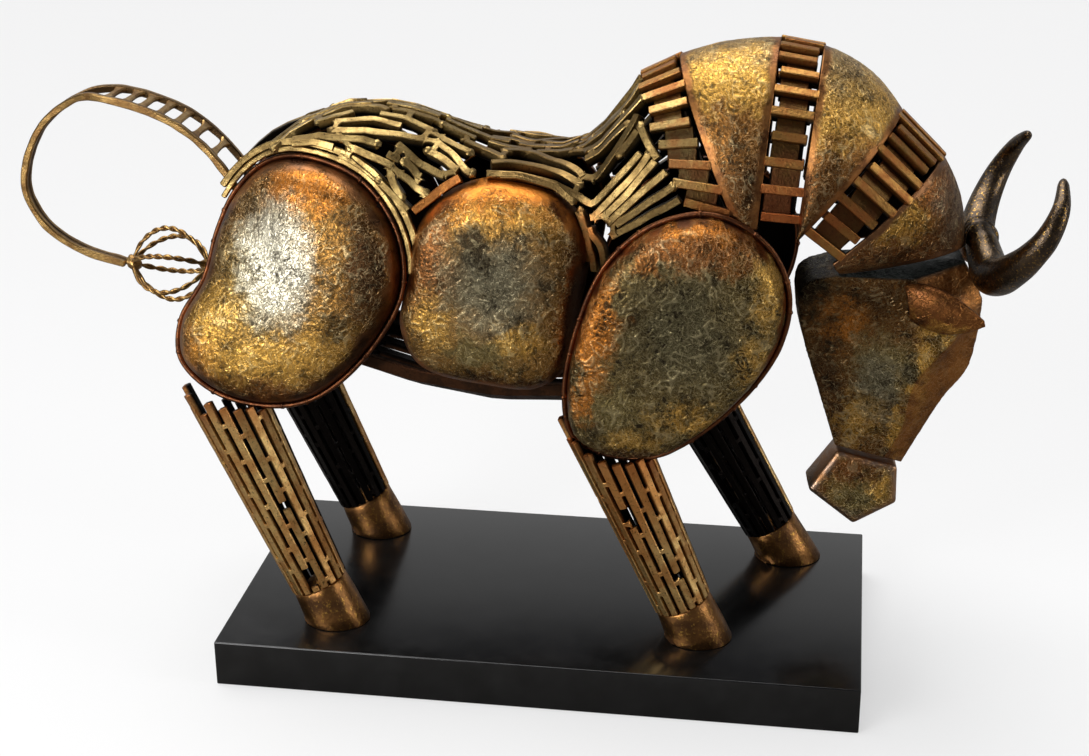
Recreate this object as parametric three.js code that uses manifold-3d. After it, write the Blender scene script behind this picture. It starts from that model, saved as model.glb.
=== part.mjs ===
// A welded metal bull on a flat black plinth, in millimetres, +Z up, head towards +X.
// The origin is the middle of the plinth's underside.
import * as THREE from 'three';
import { mergeVertices } from 'three/addons/utils/BufferGeometryUtils.js';
import Module from 'manifold-3d';

const wasm = await Module();
wasm.setup();

// Driving dimensions of the whole
const PLINTH = { length: 400, depth: 207, height: 30 };
const MIDDLE_Y = 3;
const GAP = 0.3;
const BAR = { width: 5, depth: 4.5 };
const SHEET = 1.8;
const WIRE = 3.2;
const SIDES = { near: -1, far: 1 };

// The six bulging body plates: outline points are [x, height, half width of the body there]
const HAUNCH = {
  outline: [
    [-146, 327, 34], [-108, 316, 43], [-84, 286, 53], [-81, 251, 59], [-104, 210, 64],
    [-139, 180, 66], [-172, 174, 66], [-205, 181, 62], [-226, 199, 56], [-227, 222, 49],
    [-213, 248, 39], [-205, 277, 30], [-195, 299, 22], [-174, 319, 24],
  ],
  steps: [[0.95, 0.4], [0.8, 0.78], [0.48, 0.97]],
  bulge: 24,
  wireRoom: 0.5,
};
const BELLY = {
  outline: [
    [-36, 317, 45], [-60, 305, 46], [-74, 284, 48], [-77, 258, 50], [-80, 232, 53], [-66, 208, 56],
    [-30, 196, 57], [0, 195, 57], [14, 208, 53], [20, 240, 49], [25, 284, 47], [12, 308, 46],
    [-14, 317, 45],
  ],
  steps: [[0.94, 0.45], [0.82, 0.83], [0.55, 1.0]],
  bulge: 21,
  wireRoom: 0,
};
const SHOULDER = {
  outline: [
    [94, 310, 62], [65, 301, 62], [39, 277, 63], [22, 238, 64], [14, 195, 65], [19, 167, 66],
    [33, 157, 66], [53, 153, 66], [76, 157, 66], [114, 186, 65], [142, 226, 64], [148, 260, 63],
    [138, 287, 62], [116, 305, 62],
  ],
  steps: [[0.96, 0.45], [0.86, 0.86], [0.64, 1.0]],
  bulge: 20,
  wireRoom: 0.8,
};
const PLATE_POINTS = 20;

// Hump stations: each is an arch from its top [x, z] to its foot [x, z] on either side
const ARCHES = {
  latticeEnd: { top: [53, 375], foot: [88, 308], half: 58.5 },
  bandOneEnd: { top: [73.5, 385.5], foot: [113, 300.5], half: 58.5 },
  bandTwoStart: { top: [135.5, 397.5], foot: [126.5, 299], half: 58.5 },
  bandTwoEnd: { top: [157, 394], foot: [148.5, 298], half: 58.5 },
  bandThreeStart: { top: [206.5, 356], foot: [150.5, 294], half: 58 },
  bandThreeEnd: { top: [229.5, 333.5], foot: [170, 279], half: 56 },
  poll: { top: [247, 275], foot: [176, 265], half: 31 },
};
const BAND = { bars: 19, depth: 5, sunk: 3.4, coreDepth: 4, barShare: 0.42, coreInset: 0.16 };

// The back between rump and hump: matching points of the spine and of the plates' upper edges
const SPINE = [
  [-184, 316], [-176, 324], [-156, 339], [-128, 350], [-103, 352], [-86, 349.5], [-72, 345.5],
  [-55, 338.5], [-38, 332], [-14, 328], [5, 328], [20, 334], [31, 344.5], [40, 356.5],
  [47, 366], [51, 373],
];
const BORDER = [
  [-185, 316.5, 22], [-177, 324, 26], [-160, 331.5, 32], [-140, 334, 37], [-115, 327.5, 42],
  [-96, 314, 47], [-77, 294.5, 50], [-60, 310, 48], [-42, 321.5, 46], [-14, 322, 46],
  [8, 315.5, 47], [21, 304, 49], [29, 287, 53], [46, 297.5, 57], [65, 307, 58.5],
  [83, 312, 58.5],
];
// The bars on each side of the spine, as shares of the way down the side at these border steps
const ROW_STEPS = [0.3, 4, 7.6, 8.4, 11, 15];
const ROWS = [
  [0.13, 0.12, 0.14, 0.13, 0.13, 0.14], [0.27, 0.25, 0.27, 0.27, 0.28, 0.28],
  [0.41, 0.38, 0.42, 0.42, 0.42, 0.4], [0.55, 0.53, 0.61, 0.57, 0.56, 0.52],
  [0.69, 0.68, 0.78, 0.72, 0.7, 0.65], [0.83, 0.83, 0.9, 0.86, 0.84, 0.79],
  [0.96, 0.96, 0.985, 0.98, 0.97, 0.92],
];
// Sections along the back in border steps. In the short ones some bars are welded to the next one
// down, counted from the spine, and some bars have a gap.
const BACK_STEPS = [0.3, 1.4, 1.8, 3, 3.4, 4.6, 5, 5.9, 6.3, 7.2, 7.7, 9, 10.6, 11.1, 12, 12.4, 13.4,
  13.8, 15];
const BACK_WELDS = {
  1: [0, 2, 4, 6], 3: [1, 3, 5], 5: [0, 4], 7: [2, 6], 9: [1, 3, 5], 12: [0, 2, 4, 6], 14: [1, 5],
  16: [2, 6],
};
const BACK_BREAKS = { 3: [7], 5: [2, 6], 7: [4], 9: [7], 14: [3] };

// The bars under the belly and up the chest to the throat
const UNDERSIDE = {
  keel: [[-126, 190], [-80, 177], [-30, 169], [20, 171], [64, 183], [98, 212], [122, 262]],
  edge: [[-116, 200, 40], [-80, 192, 44], [-30, 186, 46], [20, 189, 46], [60, 201, 42],
    [92, 228, 40], [120, 272, 40]],
  rows: [0.4, 0.78],
  steps: [0, 0.3, 1, 2, 3, 3.3, 4, 5, 5.7, 6],
  welded: [0, 4, 8],
};

// Legs: hoof centre on the plinth, and the same leg's centre at the height of the body
const LEGS = {
  rear_leg_near: { foot: [-131, -64], top: [-190, -61], topZ: 166, under: 'haunch' },
  rear_leg_far: { foot: [-132, 64], top: [-191, 61], topZ: 166, under: 'haunch' },
  front_leg_near: { foot: [99, -55], top: [44, -59], topZ: 158, under: 'shoulder' },
  front_leg_far: { foot: [150, 63], top: [79, 60], topZ: 158, under: 'shoulder' },
};
const HOOF = { length: 27, base: 19.3, top: 17.6, ledge: 11.6, cap: 5, sides: 12 };
const LEG = { bars: 15, footRadius: 17.2, topRadius: 22.5, barShare: 0.7, groove: 3, wall: 4.8 };
// How far each bar runs past the leg's nominal height, repeated round the leg
const BAR_TOPS = [8, 13, 3, 11, -2, 10, 6, 14];
// Lengths lost from single bars, seen as slots through the leg: bar number, from, to above the hoof
const LOST = {
  rear_leg_near: [[12, 4, 18]],
  front_leg_near: [[11, 66, 80]],
  rear_leg_far: [[9, 84, 96]],
  front_leg_far: [[10, 30, 74]],
};

// The head hangs in a frame turned a little to the far side: [forward, half width, height]
const HEAD = { x: 200, turn: 7 };
const HEAD_RINGS = [
  { jaw: [-29, 24, 262.5], cheek: [14, 28, 262.5], brow: [46, 12, 267.5] },
  { jaw: [-49, 20, 255], cheek: [36, 29, 246], brow: [55.5, 15, 250] },
  { jaw: [-50, 14, 232], cheek: [43, 27, 227], brow: [57.5, 15.5, 238] },
  { jaw: [-46, 13, 215], cheek: [22, 24, 197], brow: [53.5, 16, 206] },
  { jaw: [-36, 12, 184], cheek: [15, 18, 162], brow: [38, 14, 179.5] },
  { jaw: [-24.5, 10.5, 147.5], cheek: [6, 13.5, 140.5], brow: [17, 10, 136] },
];
const MUZZLE_OUTLINE = [[-22.6, 143.2, 11.5], [14.6, 133.2, 12], [15, 109.5, 14], [-10.7, 94.2, 13],
  [-39.6, 117.8, 13.6]];
const EAR = { root: [17, 29.2, 244.5], tip: [54, 45, 240.5], height: 13.5, reach: 8, sheet: 1.6 };
const HORN_PATH = [
  [56.4, 6.4, 277.5], [58, 15, 270], [59.3, 28, 265], [61.4, 40, 268], [65.4, 52.4, 276],
  [71.8, 64.3, 287.6], [79.3, 70.5, 301.5], [86.4, 66, 316.5], [90.6, 48.5, 329.6],
];
const HORN_RADII = [9.6, 10.8, 11.4, 11, 10, 8.6, 7, 5.2, 2.8];
const COLLAR = { s: 56, z: 279.8, radius: 10, length: 12 };

// The tail: two rails side by side, apart like a ladder near the rump and touching round the loop
const TAIL_PATH = [
  [-194.5, 298.5, 17.5], [-201, 308, 16], [-213, 322.5, 15], [-229.5, 335.7, 15], [-251, 345.2, 14.8],
  [-274.5, 350.6, 13.5], [-290, 350.4, 8], [-303, 345, 3.6], [-321, 331, 2.3], [-334, 308, 2.3],
  [-337.4, 286, 2.3], [-327, 264.5, 2.3], [-306, 249.5, 2.3], [-276, 240.5, 2.3],
];
const RAIL = 4.4;
const RUNGS = { count: 8, first: [-199, 305], last: [-274, 350.4], width: 4.6 };
const TASSEL = { from: -271, to: -222, z: 241, radius: 24, wires: 6, wire: 3.4, knot: 5 };

// Colours from the photograph
const FINISH = {
  lacquer: [0x0b0b0c, 0.35, 0.0], patina: [0x8a5a26, 0.4, 0.85], bars: [0x8f7a45, 0.45, 0.9],
  copper: [0x7d4422, 0.4, 0.85], steel: [0x4a4038, 0.35, 0.9],
};

const vector = (x, y, z) => new THREE.Vector3(x, y, z);
const mix = (a, b, t) => a + (b - a) * t;

function solidFrom(points, faces) {
  let volume = 0;
  for (const [a, b, c] of faces) {
    volume += points[a].dot(points[b].clone().cross(points[c]));
  }
  const same = (a, b) => points[a].distanceToSquared(points[b]) < 1e-8;
  const real = faces.filter(([a, b, c]) => !same(a, b) && !same(b, c) && !same(c, a));
  const outward = volume < 0 ? real.map(([a, b, c]) => [a, c, b]) : real;
  const geometry = new THREE.BufferGeometry();
  const numbers = points.flatMap((point) => point.toArray());
  geometry.setAttribute('position', new THREE.Float32BufferAttribute(numbers, 3));
  geometry.setIndex(outward.flat());
  return geometry;
}

// Skin over rings of equally many points. The ends are flat, or run to a tip point.
function loft(rings, { looped = false, firstTip = null, lastTip = null } = {}) {
  const points = rings.flat();
  const faces = [];
  const count = rings[0].length;
  const spans = looped ? rings.length : rings.length - 1;
  for (let i = 0; i < spans; i += 1) {
    const here = i * count;
    const next = ((i + 1) % rings.length) * count;
    for (let j = 0; j < count; j += 1) {
      const k = (j + 1) % count;
      faces.push([here + j, here + k, next + k], [here + j, next + k, next + j]);
    }
  }
  const close = (start, tip, turned) => {
    const fan = [];
    if (tip) {
      points.push(tip);
      for (let j = 0; j < count; j += 1) fan.push([points.length - 1, start + j, start + ((j + 1) % count)]);
    } else {
      for (let j = 1; j < count - 1; j += 1) fan.push([start, start + j, start + j + 1]);
    }
    for (const [a, b, c] of fan) faces.push(turned ? [a, c, b] : [a, b, c]);
  };
  if (!looped) {
    close(0, firstTip, true);
    close((rings.length - 1) * count, lastTip, false);
  }
  return solidFrom(points, faces);
}

// A sheet with thickness and openings: a grid of points for each face, with the cells that isOpen
// names left out
function sheet(outer, inner, isOpen = () => false) {
  const points = [];
  const faces = [];
  const numbers = new Map();
  const at = (grid, [i, j]) => {
    const point = grid[i][j];
    if (!numbers.has(point)) {
      numbers.set(point, points.length);
      points.push(point);
    }
    return numbers.get(point);
  };
  const quad = (a, b, c, d) => faces.push([a, b, c], [a, c, d]);
  const isSolid = (i, j) => (
    i >= 0 && j >= 0 && i < outer.length - 1 && j < outer[0].length - 1 && !isOpen(i, j));
  const cell = (i, j) => {
    const corners = [[i, j], [i, j + 1], [i + 1, j + 1], [i + 1, j]];
    const neighbours = [[i - 1, j], [i, j + 1], [i + 1, j], [i, j - 1]];
    quad(...corners.map((corner) => at(outer, corner)));
    quad(...corners.map((corner) => at(inner, corner)).reverse());
    neighbours.forEach(([ni, nj], k) => {
      if (isSolid(ni, nj)) return;
      const [here, next] = [corners[k], corners[(k + 1) % 4]];
      quad(at(outer, next), at(outer, here), at(inner, here), at(inner, next));
    });
  };
  for (let i = 0; i < outer.length - 1; i += 1) {
    for (let j = 0; j < outer[0].length - 1; j += 1) {
      if (isSolid(i, j)) cell(i, j);
    }
  }
  return solidFrom(points, faces);
}

// A bar of any flat section along a path. ups holds the direction that the section's second axis takes.
function sweepRings(path, ups, section, looped = false) {
  const last = path.length - 1;
  return path.map((point, i) => {
    const before = path[looped ? (i + last) % path.length : Math.max(i - 1, 0)];
    const after = path[looped ? (i + 1) % path.length : Math.min(i + 1, last)];
    const along = after.clone().sub(before).normalize();
    const up = ups[i].clone().addScaledVector(along, -ups[i].dot(along)).normalize();
    const across = up.clone().cross(along);
    const shape = typeof section === 'function' ? section(i) : section;
    return shape.map(([a, b]) => point.clone().addScaledVector(across, a).addScaledVector(up, b));
  });
}

const sweep = (path, ups, section, looped = false) => (
  loft(sweepRings(path, ups, section, looped), { looped }));

const flatBar = (width, depth) => [
  [-width / 2, -depth], [width / 2, -depth], [width / 2, 0], [-width / 2, 0],
];

function roundSection(radius, sides, turn = 0) {
  return Array.from({ length: sides }, (_, i) => {
    const angle = ((i + turn) / sides) * 2 * Math.PI;
    return [radius * Math.cos(angle), radius * Math.sin(angle)];
  });
}

function toSolid(geometry) {
  const merged = mergeVertices(geometry, 1e-4);
  return new wasm.Manifold(new wasm.Mesh({
    numProp: 3,
    vertProperties: merged.attributes.position.array,
    triVerts: new Uint32Array(merged.index.array),
  }));
}

function toGeometry(solid) {
  const mesh = solid.getMesh();
  const geometry = new THREE.BufferGeometry();
  geometry.setAttribute('position', new THREE.Float32BufferAttribute(Array.from(mesh.vertProperties), 3));
  geometry.setIndex(Array.from(mesh.triVerts));
  return geometry;
}

const fuse = (geometries) => toGeometry(geometries.map(toSolid).reduce((sum, next) => sum.add(next)));

// A point at a fractional step along a list of points
function along(list, step) {
  const i = Math.min(Math.floor(step), list.length - 2);
  return list[i].map((value, k) => mix(value, list[i + 1][k], step - i));
}

// Body plates

// Even points round a plate's outline, moved inwards by inset, on the body's side
function plateEdge(plate, side, inset) {
  const corners = plate.outline.map(([x, z, half]) => vector(x, side * half, z));
  const curve = new THREE.CatmullRomCurve3(corners, true, 'centripetal');
  const points = curve.getSpacedPoints(PLATE_POINTS).slice(0, PLATE_POINTS);
  return points.map((point, i) => {
    const before = points[(i + PLATE_POINTS - 1) % PLATE_POINTS];
    const after = points[(i + 1) % PLATE_POINTS];
    const run = after.clone().sub(before).setY(0).normalize();
    return point.clone().add(vector(-run.z, 0, run.x).multiplyScalar(-inset * turnOf(plate)));
  });
}

// +1 where the outline runs one way round, -1 the other, so that an inset always moves inwards
function turnOf(plate) {
  let area = 0;
  plate.outline.forEach(([x, z], i) => {
    const [nextX, nextZ] = plate.outline[(i + 1) % plate.outline.length];
    area += x * nextZ - nextX * z;
  });
  return area < 0 ? 1 : -1;
}

function plateAxis(plate, side) {
  const highest = plate.outline.reduce((a, b) => (b[1] > a[1] ? b : a));
  const lowest = plate.outline.reduce((a, b) => (b[1] < a[1] ? b : a));
  const lean = (lowest[2] - highest[2]) / (highest[1] - lowest[1]);
  return vector(0, side, lean).normalize();
}

function plateRings(plate, side, inset, lift, steps) {
  const edge = plateEdge(plate, side, inset);
  const middle = edge.reduce((sum, point) => sum.add(point), vector(0, 0, 0)).divideScalar(edge.length);
  const axis = plateAxis(plate, side);
  const ring = (share, rise) => edge.map((point) => (
    middle.clone().lerp(point, share).addScaledVector(axis, rise)));
  const rings = [edge, ...steps.map(([share, height]) => ring(share, height * plate.bulge + lift))];
  return { rings, tip: middle.clone().addScaledVector(axis, plate.bulge + lift), axis };
}

function bodyPlate(plate, side) {
  const inset = plate.wireRoom > 0 ? WIRE + plate.wireRoom : 0;
  const face = plateRings(plate, side, inset, 0, plate.steps);
  const back = plateRings(plate, side, inset + SHEET, -SHEET, [[0.78, 0.7]]);
  return loft([...face.rings.reverse(), ...back.rings], { firstTip: face.tip, lastTip: back.tip });
}

function plateRim(plate, side) {
  const path = plateEdge(plate, side, WIRE / 2);
  const axis = plateAxis(plate, side);
  return sweep(path, path.map(() => axis), roundSection(WIRE * 0.7, 3, 0.75), true);
}

// The space that a plate and its wire fill, a little swollen, to cut its neighbours clear
function plateSpace(plate, side) {
  const face = plateRings(plate, side, -0.6, 0.6, plate.steps);
  const axis = face.axis;
  const wall = face.rings[0].map((point) => point.clone().addScaledVector(axis, 3));
  const floor = face.rings[0].map((point) => point.clone().addScaledVector(axis, -3));
  return toSolid(loft([...face.rings.slice(1).reverse(), wall, floor], { firstTip: face.tip }));
}

// Hump

// A point of an arch: share 0 is the top, 1 and -1 are the feet, and sink is measured inwards
function archPoint(arch, share, sink = 0) {
  const angle = (share * Math.PI) / 2;
  const drop = 1 - Math.cos(angle);
  const half = arch.half - sink;
  const [topX, topZ] = arch.top;
  const [footX, footZ] = arch.foot;
  const length = Math.hypot(footX - topX, footZ - topZ);
  const inwards = (sink * Math.cos(angle)) / length;
  const t = drop + inwards;
  return vector(mix(topX, footX, t), half * Math.sin(angle), mix(topZ, footZ, t));
}

function blendArch(from, to, t) {
  return {
    top: from.top.map((value, k) => mix(value, to.top[k], t)),
    foot: from.foot.map((value, k) => mix(value, to.foot[k], t)),
    half: mix(from.half, to.half, t),
  };
}

function humpBand(from, to) {
  const stations = [];
  const pitch = 2 / BAND.bars;
  const station = (share, inset, top, bottom) => {
    const left = blendArch(from, to, inset);
    const right = blendArch(from, to, 1 - inset);
    stations.push([archPoint(left, share, top), archPoint(right, share, top),
      archPoint(right, share, bottom), archPoint(left, share, bottom)]);
  };
  for (let i = 0; i < BAND.bars; i += 1) {
    const middle = -1 + (i + 0.5) * pitch;
    const halfBar = (pitch * BAND.barShare) / 2;
    if (i > 0) station(middle - halfBar * 1.2, BAND.coreInset, BAND.sunk, BAND.sunk + BAND.coreDepth);
    station(middle - halfBar, 0.02, 0, BAND.depth);
    station(middle + halfBar, 0.02, 0, BAND.depth);
    if (i < BAND.bars - 1) {
      station(middle + halfBar * 1.2, BAND.coreInset, BAND.sunk, BAND.sunk + BAND.coreDepth);
    }
  }
  return loft(stations);
}

function humpPlate(from, to, steps, sag = 0) {
  const columns = 12;
  const gap = 0.03;
  const face = (sink) => Array.from({ length: steps + 1 }, (_, i) => {
    const t = mix(gap, 1 - gap, i / steps);
    const arch = blendArch(from, to, t);
    const rise = sag * Math.sin(Math.PI * t);
    return Array.from({ length: columns + 1 }, (__, j) => (
      archPoint(arch, -1 + (2 * j) / columns, sink - rise)));
  });
  return sheet(face(0.6), face(0.6 + SHEET));
}

// Back lattice

function backPoint(share, step, side) {
  const [topX, topZ] = along(SPINE, step);
  const [footX, footZ, half] = along(BORDER, step);
  const angle = (share * Math.PI) / 2;
  const drop = 1 - Math.cos(angle);
  return vector(mix(topX, footX, drop), side * half * Math.sin(angle), mix(topZ, footZ, drop));
}

// The outward direction of a surface given by pointAt(share, step, side)
function outwardOf(pointAt, share, step, side, most) {
  const s = Math.min(Math.max(step, 0.05), most - 0.05);
  const t = Math.min(Math.max(share, 0.05), 0.98);
  const ahead = pointAt(t, s + 0.05, side).sub(pointAt(t, s - 0.05, side));
  const down = pointAt(t + 0.02, s, side).sub(pointAt(t - 0.02, s, side));
  const outward = down.cross(ahead).multiplyScalar(-side).normalize();
  return pointAt === undersidePoint ? outward.negate() : outward;
}

// Parallel bars over a surface given by pointAt(share, step, side): rowsAt(step) lists their shares
// on each side of a middle bar. isOpen(section, row, isBar) says where bars and gaps are open.
function lattice(pointAt, rowsAt, steps, most, isOpen) {
  const faceRows = (sunk) => steps.map((step) => {
    const shares = rowsAt(step);
    const edges = (share) => {
      const reach = pointAt(share + 0.04, step, 1).distanceTo(pointAt(share - 0.04, step, 1)) / 0.08;
      const half = Math.min(BAR.width / 2 / reach, 0.34 * shares[0]);
      return [share - half, share + half];
    };
    const point = (share) => {
      const side = share < 0 ? -1 : 1;
      const outward = outwardOf(pointAt, Math.abs(share), step, side, most);
      return pointAt(Math.abs(share), step, side).addScaledVector(outward, -sunk);
    };
    const down = shares.flatMap(edges);
    const [, middle] = edges(0);
    return [...down.map((share) => -share).reverse(), -middle, middle, ...down].map(point);
  });
  const rowCount = rowsAt(steps[0]).length;
  return sheet(faceRows(0), faceRows(BAR.depth), (section, column) => {
    const fromMiddle = Math.abs(column - 2 * rowCount);
    return isOpen(section, Math.floor(fromMiddle / 2), fromMiddle % 2 === 0);
  });
}

function backLattice() {
  const rowsAt = (step) => ROWS.map((shares) => {
    const next = Math.max(ROW_STEPS.findIndex((value) => value >= step), 1);
    const t = (step - ROW_STEPS[next - 1]) / (ROW_STEPS[next] - ROW_STEPS[next - 1]);
    return mix(shares[next - 1], shares[next], t);
  });
  const isOpen = (section, row, isBar) => {
    const table = isBar ? BACK_BREAKS : BACK_WELDS;
    const listed = (table[section] ?? []).includes(row);
    return isBar ? listed : !listed;
  };
  return lattice(backPoint, rowsAt, BACK_STEPS, SPINE.length - 1, isOpen);
}

function undersidePoint(share, step, side) {
  const [keelX, keelZ] = along(UNDERSIDE.keel, step);
  const [edgeX, edgeZ, half] = along(UNDERSIDE.edge, step);
  const angle = (share * Math.PI) / 2;
  const rise = 1 - Math.cos(angle);
  return vector(mix(keelX, edgeX, rise), side * half * Math.sin(angle), mix(keelZ, edgeZ, rise));
}

function undersideLattice() {
  const isOpen = (section, row, isBar) => !isBar && !UNDERSIDE.welded.includes(section);
  const most = UNDERSIDE.keel.length - 1;
  return lattice(undersidePoint, () => UNDERSIDE.rows, UNDERSIDE.steps, most, isOpen);
}

// Legs

function legFrame({ foot, top, topZ }) {
  const start = vector(foot[0], foot[1], PLINTH.height);
  const axis = vector(top[0], top[1], topZ).sub(start).normalize();
  const forward = vector(1, 0, 0).addScaledVector(axis, -axis.x).normalize();
  return { start, axis, forward, across: axis.clone().cross(forward) };
}

function legPoint(frame, angle, radius, length) {
  return frame.start.clone()
    .addScaledVector(frame.axis, length)
    .addScaledVector(frame.forward, radius * Math.cos(angle))
    .addScaledVector(frame.across, radius * Math.sin(angle));
}

function hoof(leg) {
  const frame = legFrame(leg);
  const ring = (radius, length) => Array.from({ length: HOOF.sides }, (_, i) => (
    legPoint(frame, (i / HOOF.sides) * 2 * Math.PI, radius, length)));
  const floor = PLINTH.height + GAP;
  const base = ring(HOOF.base, 0).map((point) => (
    point.addScaledVector(frame.axis, (floor - point.z) / frame.axis.z)));
  const tip = legPoint(frame, 0, 0, HOOF.length + HOOF.cap);
  const capRing = ring(HOOF.ledge * 0.6, HOOF.length + HOOF.cap * 0.75);
  return loft([base, ring(HOOF.top, HOOF.length), ring(HOOF.ledge, HOOF.length), capRing], { lastTip: tip });
}

// A tube of parallel bars: its outside is ribbed, and every bar ends at a height of its own
function legBars(name, leg, spaceAbove) {
  const frame = legFrame(leg);
  const reach = (leg.topZ - PLINTH.height) / frame.axis.z;
  const pitch = (2 * Math.PI) / LEG.bars;
  const radiusAt = (length) => mix(LEG.footRadius, LEG.topRadius, length / reach);
  const ring = (lengthOf, corners) => Array.from({ length: LEG.bars }, (_, i) => (
    corners.map(([turn, sink, nextBar]) => {
      const length = lengthOf(i + nextBar);
      return legPoint(frame, (i + turn) * pitch, radiusAt(length) - sink, length);
    }))).flat();
  const half = LEG.barShare / 2;
  const outside = [[-half, 0, 0], [half, 0, 0], [0.5, LEG.groove, 0]];
  const inside = outside.map(() => [0, LEG.wall, 0]);
  const bottom = () => HOOF.length + GAP;
  const top = (i) => reach + BAR_TOPS[i % BAR_TOPS.length];
  const skin = [ring(bottom, outside), ring(top, outside), ring(top, inside), ring(bottom, inside)];
  let solid = toSolid(loft(skin, { looped: true }));
  for (const [i, from, to] of LOST[name]) {
    const out = legPoint(frame, i * pitch, 1, 0).sub(frame.start);
    const ends = [from, to].map((rise) => {
      const length = HOOF.length + rise;
      return legPoint(frame, i * pitch, radiusAt(length) + 1, length);
    });
    const slot = sweep(ends, [out, out], flatBar(LEG.topRadius * pitch * LEG.barShare, LEG.wall + 3));
    solid = solid.subtract(toSolid(slot));
  }
  return toGeometry(largest(solid.subtract(spaceAbove)));
}

const largest = (solid) => solid.decompose().reduce((a, b) => (b.volume() > a.volume() ? b : a));

// Head

function headPlace(forward, halfWidth, height) {
  const turn = THREE.MathUtils.degToRad(HEAD.turn);
  const [c, s] = [Math.cos(turn), Math.sin(turn)];
  return vector(HEAD.x + forward * c - halfWidth * s, forward * s + halfWidth * c, height);
}

function headBox(swell = 0) {
  const rings = HEAD_RINGS.map(({ jaw, cheek, brow }) => [
    ...[jaw, cheek, brow].map(([f, w, h]) => headPlace(f, -w - swell, h)),
    ...[brow, cheek, jaw].map(([f, w, h]) => headPlace(f, w + swell, h)),
  ]);
  return loft(rings);
}

function muzzle() {
  return loft([-1, 1].map((side) => MUZZLE_OUTLINE.map(([f, h, w]) => headPlace(f, side * w, h))));
}

// A rolled leaf: its section is an open hoop that faces down and narrows towards the tip
function ear(side) {
  const stations = [[0, 0.9], [0.35, 1], [0.7, 0.62], [1, 0.12]];
  const hoopPoints = 6;
  const face = (thinner) => stations.map(([t, width]) => {
    const centre = EAR.root.map((value, k) => mix(value, EAR.tip[k], t));
    return Array.from({ length: hoopPoints }, (_, j) => {
      const angle = THREE.MathUtils.degToRad(mix(-50, 230, j / (hoopPoints - 1)));
      const high = Math.max(EAR.height * width - thinner, 0.4);
      const wide = Math.max(EAR.reach * width - thinner, 0.4);
      return headPlace(centre[0] - 3 * Math.sin(angle) * width, side * (centre[1] + wide * Math.cos(angle)),
        centre[2] + high * Math.sin(angle));
    });
  });
  const leaf = toSolid(sheet(face(0), face(EAR.sheet)));
  return toGeometry(largest(leaf.subtract(toSolid(headBox(2 * GAP)))));
}

function horn(side) {
  const path = HORN_PATH.map(([f, w, h]) => headPlace(f, side * w, h));
  const back = headPlace(0, 0, 0).sub(headPlace(1, 0, 0));
  const rings = sweepRings(path, path.map(() => back), (i) => roundSection(HORN_RADII[i], 8));
  const lateral = headPlace(0, 1, 0).sub(headPlace(0, 0, 0));
  const start = path[1].clone().sub(path[0]).normalize();
  const slope = start.dot(lateral);
  rings[0] = rings[0].map((point) => (
    point.addScaledVector(start, path[0].clone().sub(point).dot(lateral) / slope)));
  return loft(rings);
}

function hornCollar() {
  const half = COLLAR.length / 2;
  const profile = [[-half, 0.94], [-half + 2, 1.02], [half - 2, 1.02], [half, 0.94]];
  const rings = profile.map(([w, scale]) => roundSection(COLLAR.radius * scale, 12).map(([a, b]) => (
    headPlace(COLLAR.s + a, w, COLLAR.z + b))));
  return loft(rings);
}

// Tail

function tail() {
  const rail = (side) => {
    const knots = TAIL_PATH.map(([x, z, half]) => vector(x, side * half, z));
    const path = new THREE.CatmullRomCurve3(knots, false, 'centripetal').getSpacedPoints(17);
    const section = flatBar(RAIL, RAIL).map(([a, b]) => [a, b + RAIL / 2]);
    return sweep(path, path.map(() => vector(0, side, 0)), section);
  };
  const knots = TAIL_PATH.map(([x, z, half]) => vector(x, half, z));
  const curve = new THREE.CatmullRomCurve3(knots, false, 'centripetal');
  const pieces = [rail(-1), rail(1)];
  for (let i = 0; i < RUNGS.count; i += 1) {
    const x = mix(RUNGS.first[0], RUNGS.last[0], i / (RUNGS.count - 1));
    const t = rootAtX(curve, x);
    const middle = curve.getPointAt(t);
    const outwards = curve.getTangentAt(t).cross(vector(0, 1, 0));
    const ends = [-1, 1].map((side) => (
      vector(middle.x, side * middle.y, middle.z).addScaledVector(outwards, 1.5)));
    pieces.push(sweep(ends, [outwards, outwards], flatBar(RUNGS.width, RAIL - 1.4)));
  }
  return fuse(pieces);
}

// Where the first stretch of the tail crosses x
function rootAtX(curve, x) {
  let [low, high] = [0, 0.4];
  for (let i = 0; i < 30; i += 1) {
    const middle = (low + high) / 2;
    if (curve.getPointAt(middle).x > x) low = middle;
    else high = middle;
  }
  return low;
}

function tailTassel() {
  const length = TASSEL.to - TASSEL.from;
  const pieces = [TASSEL.from, TASSEL.to].map((x) => {
    const ball = new THREE.SphereGeometry(TASSEL.knot, 6, 3);
    ball.deleteAttribute('normal');
    ball.deleteAttribute('uv');
    return ball.translate(x, 0, TASSEL.z);
  });
  for (let i = 0; i < TASSEL.wires; i += 1) {
    const angle = ((i + 0.5) / TASSEL.wires) * 2 * Math.PI;
    const out = vector(0, Math.cos(angle), Math.sin(angle));
    const path = Array.from({ length: 7 }, (_, k) => {
      const t = k / 6;
      const swell = Math.sin(Math.PI * t) ** 0.6;
      return vector(TASSEL.from + length * t, 0, TASSEL.z).addScaledVector(out, TASSEL.radius * swell);
    });
    pieces.push(sweep(path, path.map(() => out), roundSection(TASSEL.wire / 2, 3)));
  }
  return fuse(pieces);
}

// The whole

const bull = new THREE.Group();
bull.position.y = MIDDLE_Y;
const sculpture = new THREE.Group();
sculpture.add(bull);

function place(parent, name, geometry, finish) {
  const [color, roughness, metalness] = FINISH[finish];
  const mesh = new THREE.Mesh(geometry, new THREE.MeshStandardMaterial({ color, roughness, metalness }));
  mesh.name = name;
  parent.add(mesh);
  return mesh;
}

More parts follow.
